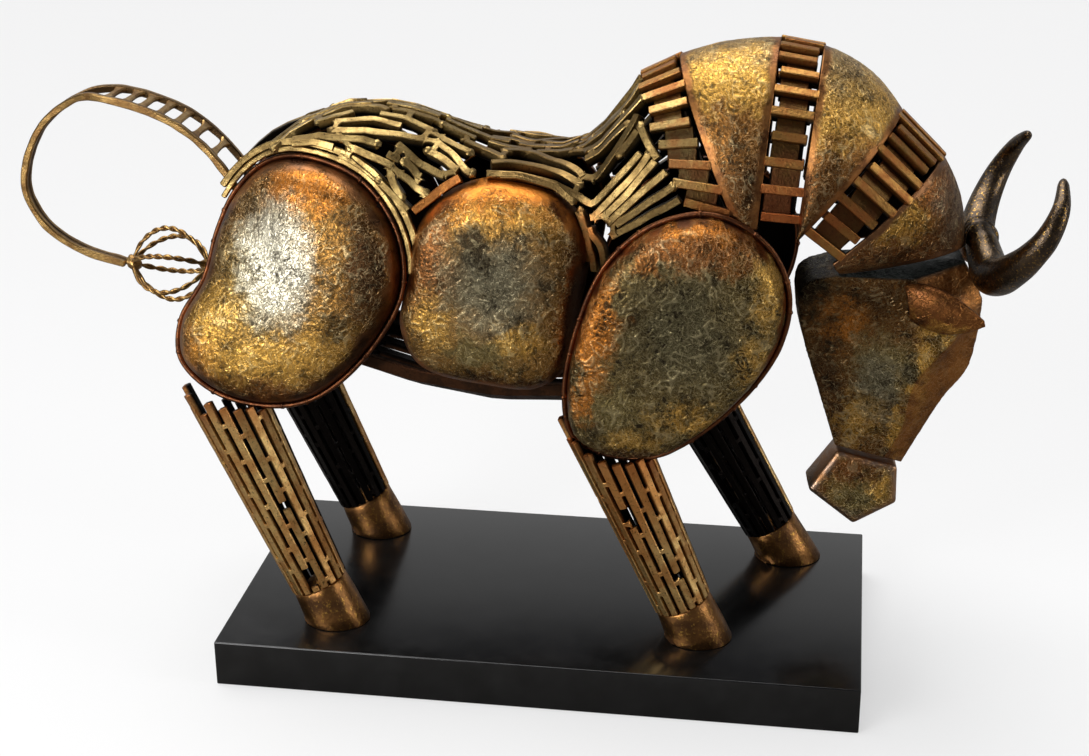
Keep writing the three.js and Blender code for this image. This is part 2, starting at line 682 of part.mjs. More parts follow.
const board = new THREE.BoxGeometry(PLINTH.length, PLINTH.depth, PLINTH.height);
const plinth = place(sculpture, 'plinth', board, 'lacquer');
plinth.position.z = PLINTH.height / 2;

for (const [sideName, side] of Object.entries(SIDES)) {
  place(bull, `haunch_plate_${sideName}`, bodyPlate(HAUNCH, side), 'patina');
  place(bull, `haunch_rim_${sideName}`, plateRim(HAUNCH, side), 'copper');
  place(bull, `belly_plate_${sideName}`, bodyPlate(BELLY, side), 'patina');
  place(bull, `shoulder_plate_${sideName}`, bodyPlate(SHOULDER, side), 'patina');
  place(bull, `shoulder_rim_${sideName}`, plateRim(SHOULDER, side), 'copper');
}

for (const [name, leg] of Object.entries(LEGS)) {
  const side = Math.sign(leg.foot[1]);
  place(bull, name.replace('leg', 'hoof'), hoof(leg), 'copper');
  const above = leg.under === 'haunch' ? HAUNCH : SHOULDER;
  place(bull, name, legBars(name, leg, plateSpace(above, side)), 'bars');
}

place(bull, 'back_lattice', backLattice(), 'bars');
place(bull, 'underside_lattice', undersideLattice(), 'bars');
place(bull, 'hump_band_rear', humpBand(ARCHES.latticeEnd, ARCHES.bandOneEnd), 'copper');
place(bull, 'hump_band_middle', humpBand(ARCHES.bandTwoStart, ARCHES.bandTwoEnd), 'copper');
place(bull, 'hump_band_front', humpBand(ARCHES.bandThreeStart, ARCHES.bandThreeEnd), 'copper');
place(bull, 'hump_plate_rear', humpPlate(ARCHES.bandOneEnd, ARCHES.bandTwoStart, 2, 3), 'patina');
place(bull, 'hump_plate_front', humpPlate(ARCHES.bandTwoEnd, ARCHES.bandThreeStart, 2, 6), 'patina');
place(bull, 'nape_plate', humpPlate(ARCHES.bandThreeEnd, ARCHES.poll, 2, 5), 'patina');

place(bull, 'head', headBox(), 'patina');
place(bull, 'muzzle', muzzle(), 'patina');
for (const [sideName, side] of Object.entries(SIDES)) {
  place(bull, `ear_${sideName}`, ear(side), 'copper');
  place(bull, `horn_${sideName}`, horn(side), 'steel');
}
place(bull, 'horn_collar', hornCollar(), 'steel');
place(bull, 'tail', tail(), 'bars');
place(bull, 'tail_tassel', tailTassel(), 'bars');

export default sculpture;
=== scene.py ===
import math

import bpy
import numpy as np
from mathutils import Matrix, Vector, noise


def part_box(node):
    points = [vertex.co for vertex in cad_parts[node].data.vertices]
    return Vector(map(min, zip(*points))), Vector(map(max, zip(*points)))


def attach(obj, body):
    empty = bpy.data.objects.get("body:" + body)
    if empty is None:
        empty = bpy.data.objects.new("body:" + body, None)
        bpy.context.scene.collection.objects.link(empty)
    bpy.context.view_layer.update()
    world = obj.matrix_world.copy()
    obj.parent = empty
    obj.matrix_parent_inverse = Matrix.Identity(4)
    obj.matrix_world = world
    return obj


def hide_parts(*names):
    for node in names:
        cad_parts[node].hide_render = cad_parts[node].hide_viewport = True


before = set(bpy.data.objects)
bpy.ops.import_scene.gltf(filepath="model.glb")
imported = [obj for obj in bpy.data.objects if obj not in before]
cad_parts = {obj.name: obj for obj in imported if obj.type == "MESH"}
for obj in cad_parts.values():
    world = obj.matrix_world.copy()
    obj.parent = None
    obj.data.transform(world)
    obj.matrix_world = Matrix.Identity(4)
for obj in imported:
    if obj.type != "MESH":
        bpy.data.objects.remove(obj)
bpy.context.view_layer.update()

# A welded metal bull on a black plinth. Shapes are given in millimetres, head towards +X, and the
# meshes are made in metres. The bull stands a little behind the middle of the plinth.
MM = 0.001
BULL_Y = 3
PLINTH_TOP = 30
WIRE = 3.2
SIDES = {"near": -1, "far": 1}

# The six bulging body plates: outline points are (x, height, half width of the body there)
HAUNCH = {
    "outline": [
        (-146, 327, 34), (-108, 316, 43), (-84, 286, 53), (-81, 251, 59), (-104, 210, 64),
        (-139, 180, 66), (-172, 174, 66), (-205, 181, 62), (-226, 199, 56), (-227, 222, 49),
        (-213, 248, 39), (-205, 277, 30), (-195, 299, 22), (-174, 319, 24),
    ],
    "profile": [(1, -0.1), (0.975, 0), (0.93, 0.4), (0.8, 0.78), (0.48, 0.97), (0, 1)],
    "bulge": 24,
    "inset": 1.6,
    "border": 9,
    "fold": 4.4,
    "depth": 0.45,
}
BELLY = {
    "outline": [
        (-36, 317, 45), (-60, 306, 46), (-75, 286, 48), (-80, 258, 50), (-86, 228, 52),
        (-74, 204, 55), (-32, 194, 57), (0, 194, 57), (15, 207, 53), (21, 240, 49),
        (26, 284, 47), (12, 308, 46), (-14, 317, 45),
    ],
    "profile": [(1, -0.35), (0.985, -0.05), (0.94, 0.42), (0.82, 0.83), (0.55, 1), (0, 1)],
    "bulge": 21,
    "inset": -1.2,
    "border": 7,
    "fold": 4.0,
    "depth": 0.4,
}
SHOULDER = {
    "outline": [
        (94, 310, 62), (65, 301, 62), (39, 277, 63), (22, 238, 64), (14, 195, 65), (19, 167, 66),
        (33, 157, 66), (53, 153, 66), (76, 157, 66), (114, 186, 65), (142, 226, 64),
        (148, 260, 63), (138, 287, 62), (116, 305, 62),
    ],
    "profile": [(1, -0.1), (0.975, 0), (0.945, 0.45), (0.86, 0.86), (0.64, 1), (0, 1)],
    "bulge": 20,
    "inset": 1.6,
    "border": 3.5,
    "fold": 4.6,
    "depth": 0.6,
}
PLATE_GRID = 180
SHEET = 1.8
BACK_SPACING = 6

# Hump stations: each is an arch from its top (x, z) to its foot (x, z) on either side
ARCHES = {
    "lattice_end": {"top": (53, 375), "foot": (88, 308), "half": 58.5},
    "band_one_end": {"top": (73.5, 385.5), "foot": (113, 300.5), "half": 58.5},
    "band_two_start": {"top": (135.5, 397.5), "foot": (126.5, 299), "half": 58.5},
    "band_two_end": {"top": (157, 394), "foot": (148.5, 298), "half": 58.5},
    "band_three_start": {"top": (206.5, 356), "foot": (150.5, 294), "half": 58},
    "band_three_end": {"top": (229.5, 333.5), "foot": (170, 279), "half": 56},
    "poll": {"top": (247, 275), "foot": (176, 265), "half": 31},
}
BAND_BARS = 19

# The back between rump and hump: matching points of the spine and of the plates' upper edges
SPINE = [
    (-184, 316), (-176, 324), (-156, 339), (-128, 350), (-103, 352), (-86, 349.5), (-72, 345.5),
    (-55, 338.5), (-38, 332), (-14, 328), (5, 328), (20, 334), (31, 344.5), (40, 356.5),
    (47, 366), (51, 373),
]
BORDER = [
    (-185, 316.5, 22), (-177, 324, 26), (-160, 331.5, 32), (-140, 334, 37), (-115, 327.5, 42),
    (-96, 314, 47), (-77, 294.5, 50), (-60, 310, 48), (-42, 321.5, 46), (-14, 322, 46),
    (8, 315.5, 47), (21, 304, 49), (29, 287, 53), (46, 297.5, 57), (65, 307, 58.5),
    (83, 312, 58.5),
]
SPINE_BARS = [
    [(0, 0.2), (0, 1.5), (0, 2.8), (0, 3.7)], [(0, 4.1), (0, 5), (0, 6.2)],
    [(0, 6.4), (0, 7.4), (0, 8.5)], [(0, 8.7), (0, 9.7), (0, 10.7)],
    [(0, 10.8), (0, 12), (0, 13.5), (0, 15)],
]
# Bars on each side of the spine, as (share of the way down the side, step along the border)
BACK_BARS = [
    [(0.88, 1.6), (0.45, 2), (0.2, 2.4)], [(0.11, 0.4), (0.1, 1.4), (0.12, 2.1)],
    [(0.18, 2.4), (0.11, 2.75), (0.06, 3.2), (0.06, 3.6), (0.15, 4.3)],
    [(0.36, 2.6), (0.35, 3.05), (0.24, 3.4)],
    [(0.26, 4.1), (0.23, 4.9), (0.25, 6.2)], [(0.46, 3.1), (0.37, 3.9), (0.34, 5)],
    [(0.64, 3.2), (0.58, 3.9), (0.47, 4.9), (0.37, 6)], [(0.76, 2.2), (0.79, 2.8), (0.65, 4.5)],
    [(0.95, 2.3), (0.93, 3.5)], [(0.87, 3.85), (0.83, 4.3), (0.79, 4.8), (0.765, 5.2)],
    [(0.77, 5.45), (0.76, 5.9), (0.86, 6.4)], [(0.69, 4.9), (0.68, 5.15), (0.66, 5.35)],
    [(0.65, 5.5), (0.65, 5.8), (0.7, 6.15)], [(0.84, 5.15), (0.9, 5.35), (0.94, 5.6)],
    [(0.54, 5.1), (0.56, 5.6), (0.6, 6.15), (0.76, 7)], [(0.47, 6.2), (0.54, 6.75), (0.73, 7.45)],
    [(0.36, 6.4), (0.49, 7.1), (0.88, 7.95)], [(0.1, 4.4), (0.08, 6.2)], [(0.11, 6.4), (0.14, 7.6)],
    [(0.3, 6.5), (0.4, 7.6)], [(1.04, 3.7), (1.05, 4.15), (1.04, 4.65), (1.04, 5.6)],
    [(1, 4.9), (0.985, 5.4), (0.98, 5.85)], [(0.24, 7.3), (0.28, 8), (0.385, 8.5)],
    [(0.07, 8), (0.11, 8.5), (0.07, 9.1)], [(0.23, 8.5), (0.16, 9), (0.31, 9.8), (0.6, 11.3)],
    [(0.565, 8.3), (0.475, 8.8), (0.495, 9.5), (0.68, 11.1)],
    [(0.92, 8.3), (0.85, 9), (0.84, 10.6), (0.8, 11.4), (0.64, 14.2)],
    [(0.15, 9.4), (0.13, 9.9), (0.19, 10.6)], [(0.31, 11.3), (0.3, 12.5), (0.3, 15)],
    [(0.05, 10.7), (0.08, 11.5), (0.12, 12.4), (0.17, 13.2), (0.15, 15)],
    [(0.18, 10.8), (0.19, 12), (0.23, 13.4)], [(0.4, 11.2), (0.38, 12.2), (0.38, 13.6)],
    [(0.59, 11.9), (0.52, 12.8), (0.38, 14.4)], [(0.56, 13.2), (0.5, 14.3)],
    [(0.87, 11.9), (0.81, 12.75), (0.75, 13.7), (0.67, 14.6)],
    [(0.9, 12.4), (0.85, 13.2), (0.78, 13.95), (0.72, 14.75)], [(0.95, 12.7), (0.89, 13.5), (0.8, 15)],
    [(0.99, 12.9), (0.96, 13.6), (0.89, 15)], [(1.05, 12.7), (1.04, 13.3), (1, 14.4), (0.97, 15)],
    [(0.48, 14.5), (0.6, 14.65), (0.72, 14.85)], [(0.97, 8.6), (0.94, 9.6), (0.95, 10.8)],
    [(1.02, 11), (1.06, 11.6), (1.2, 11.9)], [(0.96, 11.2), (1.08, 12), (1.26, 12.15)],
    [(0.93, 11.9), (1.08, 12.35), (1.24, 12.45)],
]
RED_BAR = [(0.95, 6), (0.95, 6.9), (0.9, 7.6)]
BACK_WELDS = [
    [(0, 2.45), (0.22, 2.4)], [(0, 4.4), (0.1, 4.45)], [(0.09, 5.1), (0.235, 5.1)],
    [(0.25, 6.1), (0.38, 5.9)], [(0.46, 3.2), (0.63, 3.25)], [(0.59, 3.4), (0.72, 3.45)],
    [(0.74, 3.6), (0.87, 3.9)], [(0.37, 5.95), (0.36, 6.5)], [(0.36, 6.5), (0.48, 6.35)],
    [(0.73, 7.35), (0.75, 6.95)], [(0.085, 6.1), (0.11, 6.5)], [(0.135, 7.3), (0.24, 7.35)],
    [(0.37, 8.45), (0.23, 8.55)], [(0.58, 11.2), (0.67, 11.05)], [(0.68, 11.05), (0.82, 10.9)],
    [(0, 9), (0.15, 9)], [(0.07, 11.3), (0.18, 11.2)], [(0.59, 12), (0.59, 11.2)],
    [(0.36, 2.7), (0.2, 2.5)], [(0.27, 6.1), (0.3, 6.6)], [(0.77, 2.4), (0.95, 2.5)],
    [(0.87, 3.9), (1.03, 3.9)], [(0.77, 5.1), (0.77, 5.5)], [(0.55, 5.3), (0.68, 5.15)],
    [(0.56, 5.6), (0.65, 5.6)], [(0.69, 6.05), (0.77, 5.95)], [(0.79, 5.1), (0.86, 5.2)],
    [(0.86, 6.35), (0.95, 6.5)], [(0.18, 10.5), (0.3, 11.35)], [(0, 9.6), (0.14, 9.6)],
    [(0.3, 11.6), (0.39, 11.5)], [(0.56, 13.3), (0.48, 13.3)], [(0.9, 12.6), (0.86, 12.1)],
    [(0.93, 13), (0.99, 13.1)], [(0.96, 12.8), (1.05, 12.8)], [(0.3, 13.4), (0.23, 13.3)],
]

# The bars under the belly and up the chest: matching points of the middle bar and of the edge
KEEL = [(-126, 190), (-80, 177), (-30, 169), (20, 171), (64, 183), (98, 212), (122, 262)]
KEEL_EDGE = [(-116, 200, 40), (-80, 192, 44), (-30, 186, 46), (20, 189, 46), (60, 201, 42),
    (92, 228, 40), (120, 272, 40)]
UNDERSIDE_ROWS = (-0.97, -0.74, -0.5, -0.25, 0, 0.25, 0.5, 0.74, 0.97)

# Legs: hoof centre on the plinth, and the same leg's centre at the height of the body
LEGS = {
    "rear_leg_near": {"foot": (-131, -64), "top": (-190, -61), "top_z": 166, "under": HAUNCH},
    "rear_leg_far": {"foot": (-132, 64), "top": (-191, 61), "top_z": 166, "under": HAUNCH},
    "front_leg_near": {"foot": (99, -55), "top": (44, -59), "top_z": 158, "under": SHOULDER},
    "front_leg_far": {"foot": (150, 63), "top": (79, 60), "top_z": 158, "under": SHOULDER},
}
LEG_BARS = 18
LEG_RADIUS = (17.2, 22.5)
HOOF_LENGTH = 27
BAR_TOPS = (24, 29, 17, 26, 12, 28, 20, 30)
INNER_BAR_TOPS = (8, 3, 6)
# Lengths lost from single leg bars: bar number, from, to above the hoof
LOST = {
    "rear_leg_near": [(14, 4, 17), (15, 58, 63), (11, 96, 101)],
    "front_leg_near": [(13, 66, 80), (15, 22, 27), (10, 84, 88)],
    "rear_leg_far": [(11, 84, 92), (12, 88, 96), (9, 4, 8)],
    "front_leg_far": [(12, 30, 74), (10, 84, 90)],
}

# The head hangs in a frame turned a little to the far side: (forward, half width, height)
HEAD_X = 200
HEAD_TURN = math.radians(7)
HEAD_RINGS = [
    {"jaw": (-29, 24, 262.5), "cheek": (14, 28, 262.5), "brow": (46, 12, 267.5)},
    {"jaw": (-49, 20, 255), "cheek": (36, 29, 246), "brow": (55.5, 15, 250)},
    {"jaw": (-50, 14, 232), "cheek": (43, 27, 227), "brow": (57.5, 15.5, 238)},
    {"jaw": (-46, 13, 215), "cheek": (22, 24, 197), "brow": (53.5, 16, 206)},
    {"jaw": (-36, 12, 184), "cheek": (15, 18, 162), "brow": (38, 14, 179.5)},
    {"jaw": (-24.5, 10.5, 147.5), "cheek": (6, 13.5, 140.5), "brow": (17, 10, 136)},
]
MUZZLE_OUTLINE = [(-22.6, 143.2, 11.5), (14.6, 133.2, 12), (15, 109.5, 14), (-10.7, 94.2, 13),
    (-39.6, 117.8, 13.6)]
EAR = {"root": (11, 29.2, 247), "tip": (54, 45, 241), "height": 15.5, "reach": 8}
HORN_PATH = [
    (56.4, 6.4, 277.5, 9.6), (58, 15, 270, 10.8), (59.3, 28, 265, 11.4), (61.4, 40, 268, 11),
    (65.4, 52.4, 276, 10), (71.8, 64.3, 287.6, 8.6), (79.3, 70.5, 301.5, 7),
    (86.4, 66, 316.5, 5.2), (90.6, 48.5, 329.6, 2.8),
]
COLLAR = {"s": 56, "z": 279.8, "radius": 10, "length": 12}

# The tail's two rails: (x, z, half the space between them)
TAIL_PATH = [
    (-194.5, 298.5, 17.5), (-201, 308, 16), (-213, 322.5, 15), (-229.5, 335.7, 15),
    (-251, 345.2, 14.8), (-274.5, 350.6, 13.5), (-290, 350.4, 8), (-303, 345, 3.6),
    (-321, 331, 2.3), (-334, 308, 2.3), (-337.4, 286, 2.3), (-327, 264.5, 2.3),
    (-306, 249.5, 2.3), (-276, 240.5, 2.3),
]
RAIL = 4.4
RUNGS = {"count": 8, "first": -199, "last": -274}
TASSEL = {"from": -271, "to": -222, "z": 241, "radius": 24, "pairs": 6, "twists": 4}

CAMERA = {"azimuth": 8.867, "elevation": 22.463, "roll": -0.362, "focal": 1961.12,
    "place": (170.117, -1128.141, 649.455)}
PHOTO_WIDTH = 1089


# Small helpers

def unit(vectors):
    return vectors / np.maximum(np.linalg.norm(vectors, axis=-1, keepdims=True), 1e-9)


def blend(a, b, t):
    return np.asarray(a, float) * (1 - t) + np.asarray(b, float) * t


def smooth_step(low, high, value):
    t = np.clip((value - low) / (high - low), 0, 1)
    return t * t * (3 - 2 * t)


def along(points, step):
    """A point at a fractional step along a list of points."""
    i = min(int(step), len(points) - 2)
    return blend(points[i], points[i + 1], step - i)


def smooth_curve(knots, count, closed=False):
    """Even points along a smooth curve through knots, which may carry more values than x, y, z."""
    knots = np.asarray(knots, float)
    if closed:
        padded = np.vstack([knots[-1:], knots, knots[:2]])
    else:
        padded = np.vstack([2 * knots[:1] - knots[1:2], knots, 2 * knots[-1:] - knots[-2:-1]])
    fine = []
    for p0, p1, p2, p3 in zip(padded, padded[1:], padded[2:], padded[3:]):
        gaps = [max(np.linalg.norm((b - a)[:3]), 1e-6) ** 0.5 for a, b in ((p0, p1), (p1, p2), (p2, p3))]
        t0, t1, t2, t3 = np.cumsum([0, *gaps])
        t = np.linspace(t1, t2, 24, endpoint=False)[:, None]
        a1 = ((t1 - t) * p0 + (t - t0) * p1) / (t1 - t0)
        a2 = ((t2 - t) * p1 + (t - t1) * p2) / (t2 - t1)
        a3 = ((t3 - t) * p2 + (t - t2) * p3) / (t3 - t2)
        b1 = ((t2 - t) * a1 + (t - t0) * a2) / (t2 - t0)
        b2 = ((t3 - t) * a2 + (t - t1) * a3) / (t3 - t1)
        fine.append(((t2 - t) * b1 + (t - t1) * b2) / (t2 - t1))
    fine = np.vstack([*fine, knots[:1] if closed else knots[-1:]])
    length = np.cumsum([0, *np.linalg.norm(np.diff(fine[:, :3], axis=0), axis=1)])
    stops = np.linspace(0, length[-1], count, endpoint=not closed)
    return np.stack([np.interp(stops, length, column) for column in fine.T], axis=1)


def crinkle(point, size):
    """Height of wrinkled foil at a point, from 0 to 1: thin ridges that wander and meet."""
    bent = point / size + noise.noise_vector(point / (2.2 * size)) * 0.8
    swell = noise.noise(bent * 0.4)
    broad = math.exp(-(noise.noise(bent * 0.9) / (0.15 + 0.06 * swell)) ** 2)
    narrow = math.exp(-(noise.noise(bent * 1.6 + Vector((7, 3, 11))) / 0.2) ** 2)
    ridge = max(broad * (0.8 + 0.6 * swell), narrow * (0.6 - 0.6 * swell))
    return 0.14 + 0.66 * ridge + 0.3 * (0.5 + swell)


# Meshes

class Stock:
    """Points in millimetres and faces gathered for one piece, with named values on the points."""

    def __init__(self):
        self.points, self.faces, self.count = [], [], 0
        self.values = {}

    def add(self, points, faces, **values):
        points = np.asarray(points, float).reshape(-1, 3)
        for name in set(values) | set(self.values):
            kept = self.values.setdefault(name, [np.zeros(self.count)] if self.count else [])
            given = values.get(name, 0)
            kept.append(np.broadcast_to(np.asarray(given, float).reshape(-1), (len(points),)))
        self.points.append(points)
        self.faces.extend([tuple(int(i) + self.count for i in face) for face in faces])
        self.count += len(points)

    def object(self, name, on_bull=True):
        mesh = bpy.data.meshes.new(name)
        shift = np.array((0, BULL_Y if on_bull else 0, 0))
        mesh.from_pydata(((np.vstack(self.points) + shift) * MM).tolist(), [], self.faces)
        for label, parts in self.values.items():
            attribute = mesh.attributes.new(label, "FLOAT", "POINT")
            attribute.data.foreach_set("value", np.concatenate(parts).astype(np.float32))
        mesh.update()
        made = bpy.data.objects.new(name, mesh)
        bpy.context.scene.collection.objects.link(made)
        return made


def grid_faces(rows, columns, wrapped=False, turned=False):
    """Faces over a grid of points, wrapped where the last column meets the first."""
    index = np.arange(rows * columns).reshape(rows, columns)
    beside = np.roll(index, -1, 1) if wrapped else index[:, 1:]
    here = index if wrapped else index[:, :-1]
    quads = np.stack([here[:-1], beside[:-1], beside[1:], here[1:]], -1).reshape(-1, 4)
    return quads[:, ::-1] if turned else quads


def grid_normals(points):
    """Directions square to a grid of points, on the side that grid_faces faces to."""
    down = np.gradient(points, axis=0)
    across = np.gradient(points, axis=1)
    return unit(np.cross(across, down))


def border_loop(rows, columns):
    """The border points of a grid in order, each once."""
    index = np.arange(rows * columns).reshape(rows, columns)
    return np.concatenate([index[0, :-1], index[:-1, -1], index[-1, :0:-1], index[:0:-1, 0]])


def shell(stock, points, behind, spacing, **values):
    """A sheet: a fine grid of points in front, a coarser one behind, and the edge between them."""
    rows, columns = points.shape[:2]
    stock_start = stock.count
    stock.add(points, grid_faces(rows, columns), **values)
    back = behind[::spacing, ::spacing]
    back_rows, back_columns = back.shape[:2]
    stock.add(back, grid_faces(back_rows, back_columns, turned=True), back=1)
    front_loop = border_loop(rows, columns)
    back_loop = border_loop(back_rows, back_columns) + rows * columns
    edge = []
    for k in range(len(back_loop)):
        fine = [front_loop[(k * spacing + i) % len(front_loop)] for i in range(spacing + 1)]
        edge.append([*reversed(fine), back_loop[k], back_loop[(k + 1) % len(back_loop)]])
    stock.faces.extend([tuple(int(i) + stock_start for i in face) for face in edge])


def bar_section(width, depth, bevel):
    half = width / 2
    return np.array([
        (bevel - half, -depth), (half - bevel, -depth), (half, bevel - depth), (half, -bevel),
        (half - bevel, 0), (bevel - half, 0), (-half, -bevel), (-half, bevel - depth)])


def round_section(radius, sides):
    angle = np.linspace(0, 2 * math.pi, sides, endpoint=False)
    return np.stack([radius * np.cos(angle), radius * np.sin(angle)], -1)


def sweep_rings(path, ups, sections, looped=False):
    """Rings of points along a path; a section's second axis points the way that ups gives."""
    path = np.asarray(path, float)
    ahead, behind = np.roll(path, -1, 0), np.roll(path, 1, 0)
    if not looped:
        ahead[-1], behind[0] = path[-1], path[0]
    forward = unit(ahead - behind)
    ups = np.broadcast_to(np.asarray(ups, float), path.shape)
    up = unit(ups - forward * np.sum(ups * forward, axis=1, keepdims=True))
    across = np.cross(up, forward)
    sections = np.broadcast_to(sections, (len(path), *np.shape(sections)[-2:]))
    return path[:, None] + across[:, None] * sections[..., :1] + up[:, None] * sections[..., 1:]


def skin(stock, rings, looped=False, **values):
    """Faces over rings of points, closed by flat ends unless the rings form a loop."""
    count, sides = rings.shape[:2]
    points = np.concatenate([rings, rings[:1]]) if looped else rings
    faces = grid_faces(len(points), sides, wrapped=True)
    if looped:
        faces = np.where(faces >= count * sides, faces - count * sides, faces)
    ends = [] if looped else [range(sides - 1, -1, -1), range((count - 1) * sides, count * sides)]
    stock.add(rings, [*faces.tolist(), *ends], **values)


def bar(stock, path, ups, width, depth, bevel=0.6, wobble=0.25, seed=0, shown=1.0, hot_end=False):
    """A flat bar with broken edges, a little uneven, its outer face along the path. shown is 1 where
    its outer face is gilded, and hot_end colours its last stretch as a weld's heat does."""
    path = np.asarray(path, float)
    ends = unit(np.stack([path[1] - path[0], path[-2] - path[-1]])) * bevel
    path = np.vstack([path[:1], path[:1] + ends[0], path[1:-1], path[-1:] + ends[1], path[-1:]])
    ups = np.broadcast_to(np.asarray(ups, float), (len(path) - 2, 3))
    ups = np.vstack([ups[:1], ups, ups[-1:]])
    width = np.broadcast_to(width, (len(path) - 2,))
    width = np.concatenate([width[:1], width, width[-1:]])
    scale = np.ones(len(path))
    scale[0] = scale[-1] = 0.72
    sections = []
    for i, point in enumerate(path):
        uneven = 1 + wobble * noise.noise(Vector(point) / 9 + Vector((seed, 0, 0))) * 0.5
        lift = wobble * noise.noise(Vector(point) / 6 + Vector((0, seed, 5))) * 0.9
        section = bar_section(width[i] * uneven, depth, bevel)
        centre = np.array((0, -depth / 2))
        sections.append((section - centre) * scale[i] + centre + np.array((0, lift)))
    rings = sweep_rings(path, ups, np.array(sections))
    outer = np.tile(bar_section(1, depth, 0.1)[:, 1] > -depth / 2, len(path)) * shown
    left = np.linalg.norm(path - path[-1], axis=1)
    hot = np.repeat(np.clip(1 - left / 16, 0, 1) if hot_end else 0 * left, 8)
    skin(stock, rings, outer=outer, hot=hot)


def blob(stock, centre, reach, up, seed=0, rows=7, sides=10):
    """A bead of weld metal: a lumpy flattened ball, outwards along up."""
    up = unit(np.asarray(up, float))
    side = unit(np.cross(up, (0.31, 0.87, 0.39)))
    other = np.cross(up, side)
    rings = []
    for i in range(rows):
        lift = math.pi * (i + 0.5) / rows
        ring = []
        for j in range(sides):
            turn = 2 * math.pi * j / sides
            out = (side * math.cos(turn) + other * math.sin(turn)) * math.sin(lift)
            way = out - up * math.cos(lift)
            lump = 1 + 0.35 * noise.noise(Vector(way) * 1.6 + Vector((seed * 3.1, seed, 0)))
            ring.append(centre + (out * reach[0] - up * math.cos(lift) * reach[1]) * lump)
        rings.append(ring)
    skin(stock, np.array(rings), outer=0.8)


# Body plates

def plate_edge(plate, side, inset, count):
    """Even points round a plate's outline on the body's side, moved inwards by inset."""
    corners = [(x, side * half, z) for x, z, half in plate["outline"]]
    points = smooth_curve(corners, count, closed=True)
    run = np.roll(points, -1, 0) - np.roll(points, 1, 0)
    run[:, 1] = 0
    run = unit(run)
    area = np.sum(points[:, 0] * np.roll(points[:, 2], -1) - np.roll(points[:, 0], -1) * points[:, 2])
    turn = 1 if area < 0 else -1
    inwards = np.stack([run[:, 2], np.zeros(count), -run[:, 0]], -1) * turn
    return points + inwards * inset


def plate_axis(plate, side):
    highest = max(plate["outline"], key=lambda point: point[1])
    lowest = min(plate["outline"], key=lambda point: point[1])
    lean = (lowest[2] - highest[2]) / (highest[1] - lowest[1])
    return unit(np.array((0, side, lean)))


def disc_grid(n):
    """Share from the middle and turn for each point of a square grid drawn over a disc."""
    u, v = np.meshgrid(np.linspace(-1, 1, n + 1), np.linspace(-1, 1, n + 1), indexing="ij")
    share = np.maximum(abs(u), abs(v))
    wide = abs(u) >= abs(v)
    ratio = np.divide(np.where(wide, v, u), np.where(wide, u, v), out=np.zeros_like(u), where=share > 0)
    turn = np.where(wide, math.pi / 4 * ratio, math.pi / 2 - math.pi / 4 * ratio)
    turn = turn + np.where(np.where(wide, u, v) < 0, math.pi, 0)
    return share, (turn / (2 * math.pi)) % 1


def plate_surface(plate, side, n, inset):
    """Points over a plate's dome, their outward directions and their distance from its edge."""
    loop = plate_edge(plate, side, inset, 4 * n)
    middle = loop.mean(axis=0)
    share, turn = disc_grid(n)
    place = turn * len(loop)
    closed = np.vstack([loop, loop[:1]])
    edge = np.stack([np.interp(place, np.arange(len(closed)), column) for column in closed.T], -1)
    profile = smooth_curve([(s, h, 0) for s, h in reversed(plate["profile"])], 60)
    rise = np.interp(share, profile[:, 0], profile[:, 1]) * plate["bulge"]
    axis = plate_axis(plate, side)
    points = middle + (edge - middle) * share[..., None] + axis * rise[..., None]
    normals = grid_normals(points)
    if np.sum(normals * axis) < 0:
        points, normals = points.swapaxes(0, 1), grid_normals(points.swapaxes(0, 1))
        share, edge = share.T, edge.swapaxes(0, 1)
    inwards = (1 - share) * np.linalg.norm(edge - middle, axis=-1)
    return points, normals, inwards


def relief(points, normals, mask, size, depth, seed=0):
    """Folds the surface like crumpled foil where mask is 1, and returns its height there as well."""
    flat = points.reshape(-1, 3)
    height = np.array([crinkle(Vector(p) + Vector((seed * 31, 0, 0)), size) for p in flat])
    height = height.reshape(points.shape[:2])
    lift = (height - 0.4) * depth * 1.3 * mask
    return points + normals * lift[..., None], height


def body_plate(name, plate, side):
    points, normals, inwards = plate_surface(plate, side, PLATE_GRID, plate["inset"])
    ragged = np.array([noise.noise(Vector(p) / 11) for p in points.reshape(-1, 3)]).reshape(inwards.shape)
    mask = smooth_step(plate["border"] * 0.55, plate["border"] * 1.2, inwards + ragged * 5)
    folded, height = relief(points, normals, mask, plate["fold"], plate["depth"])
    stock = Stock()
    shell(stock, folded, points - normals * SHEET, BACK_SPACING, relief=height, panel=mask)
    return stock.object(name)


def plate_rim(name, plate, side):
    """The round wire that a plate is bound with, with small weld beads along it."""
    count = 260
    path = plate_edge(plate, side, WIRE / 2, count)
    axis = plate_axis(plate, side)
    radius = [WIRE / 2 * (1 + 0.1 * noise.noise(Vector(p) / 8)) for p in path]
    sections = round_section(1, 10)[None] * np.array(radius)[:, None, None]
    stock = Stock()
    skin(stock, sweep_rings(path, axis, sections, looped=True), looped=True, outer=1)
    for k in range(14):
        at = path[int((k + 0.3 * math.sin(k * 2.4)) / 14 * count) % count]
        blob(stock, at, (2.1, 1.9), axis, seed=k)
    return stock.object(name)


# Hump

def arch_point(arch, share, sink=0):
    """A point of an arch: share 0 is the top, 1 and -1 are the feet, and sink is inwards."""
    angle = share * math.pi / 2
    top, foot = np.array(arch["top"], float), np.array(arch["foot"], float)
    t = 1 - np.cos(angle) + sink * np.cos(angle) / np.linalg.norm(foot - top)
    across = (arch["half"] - sink) * np.sin(angle)
    return np.stack([top[0] + (foot[0] - top[0]) * t, across, top[1] + (foot[1] - top[1]) * t], -1)


def blend_arch(start, end, t):
    return {key: blend(start[key], end[key], t) for key in ("top", "foot", "half")}


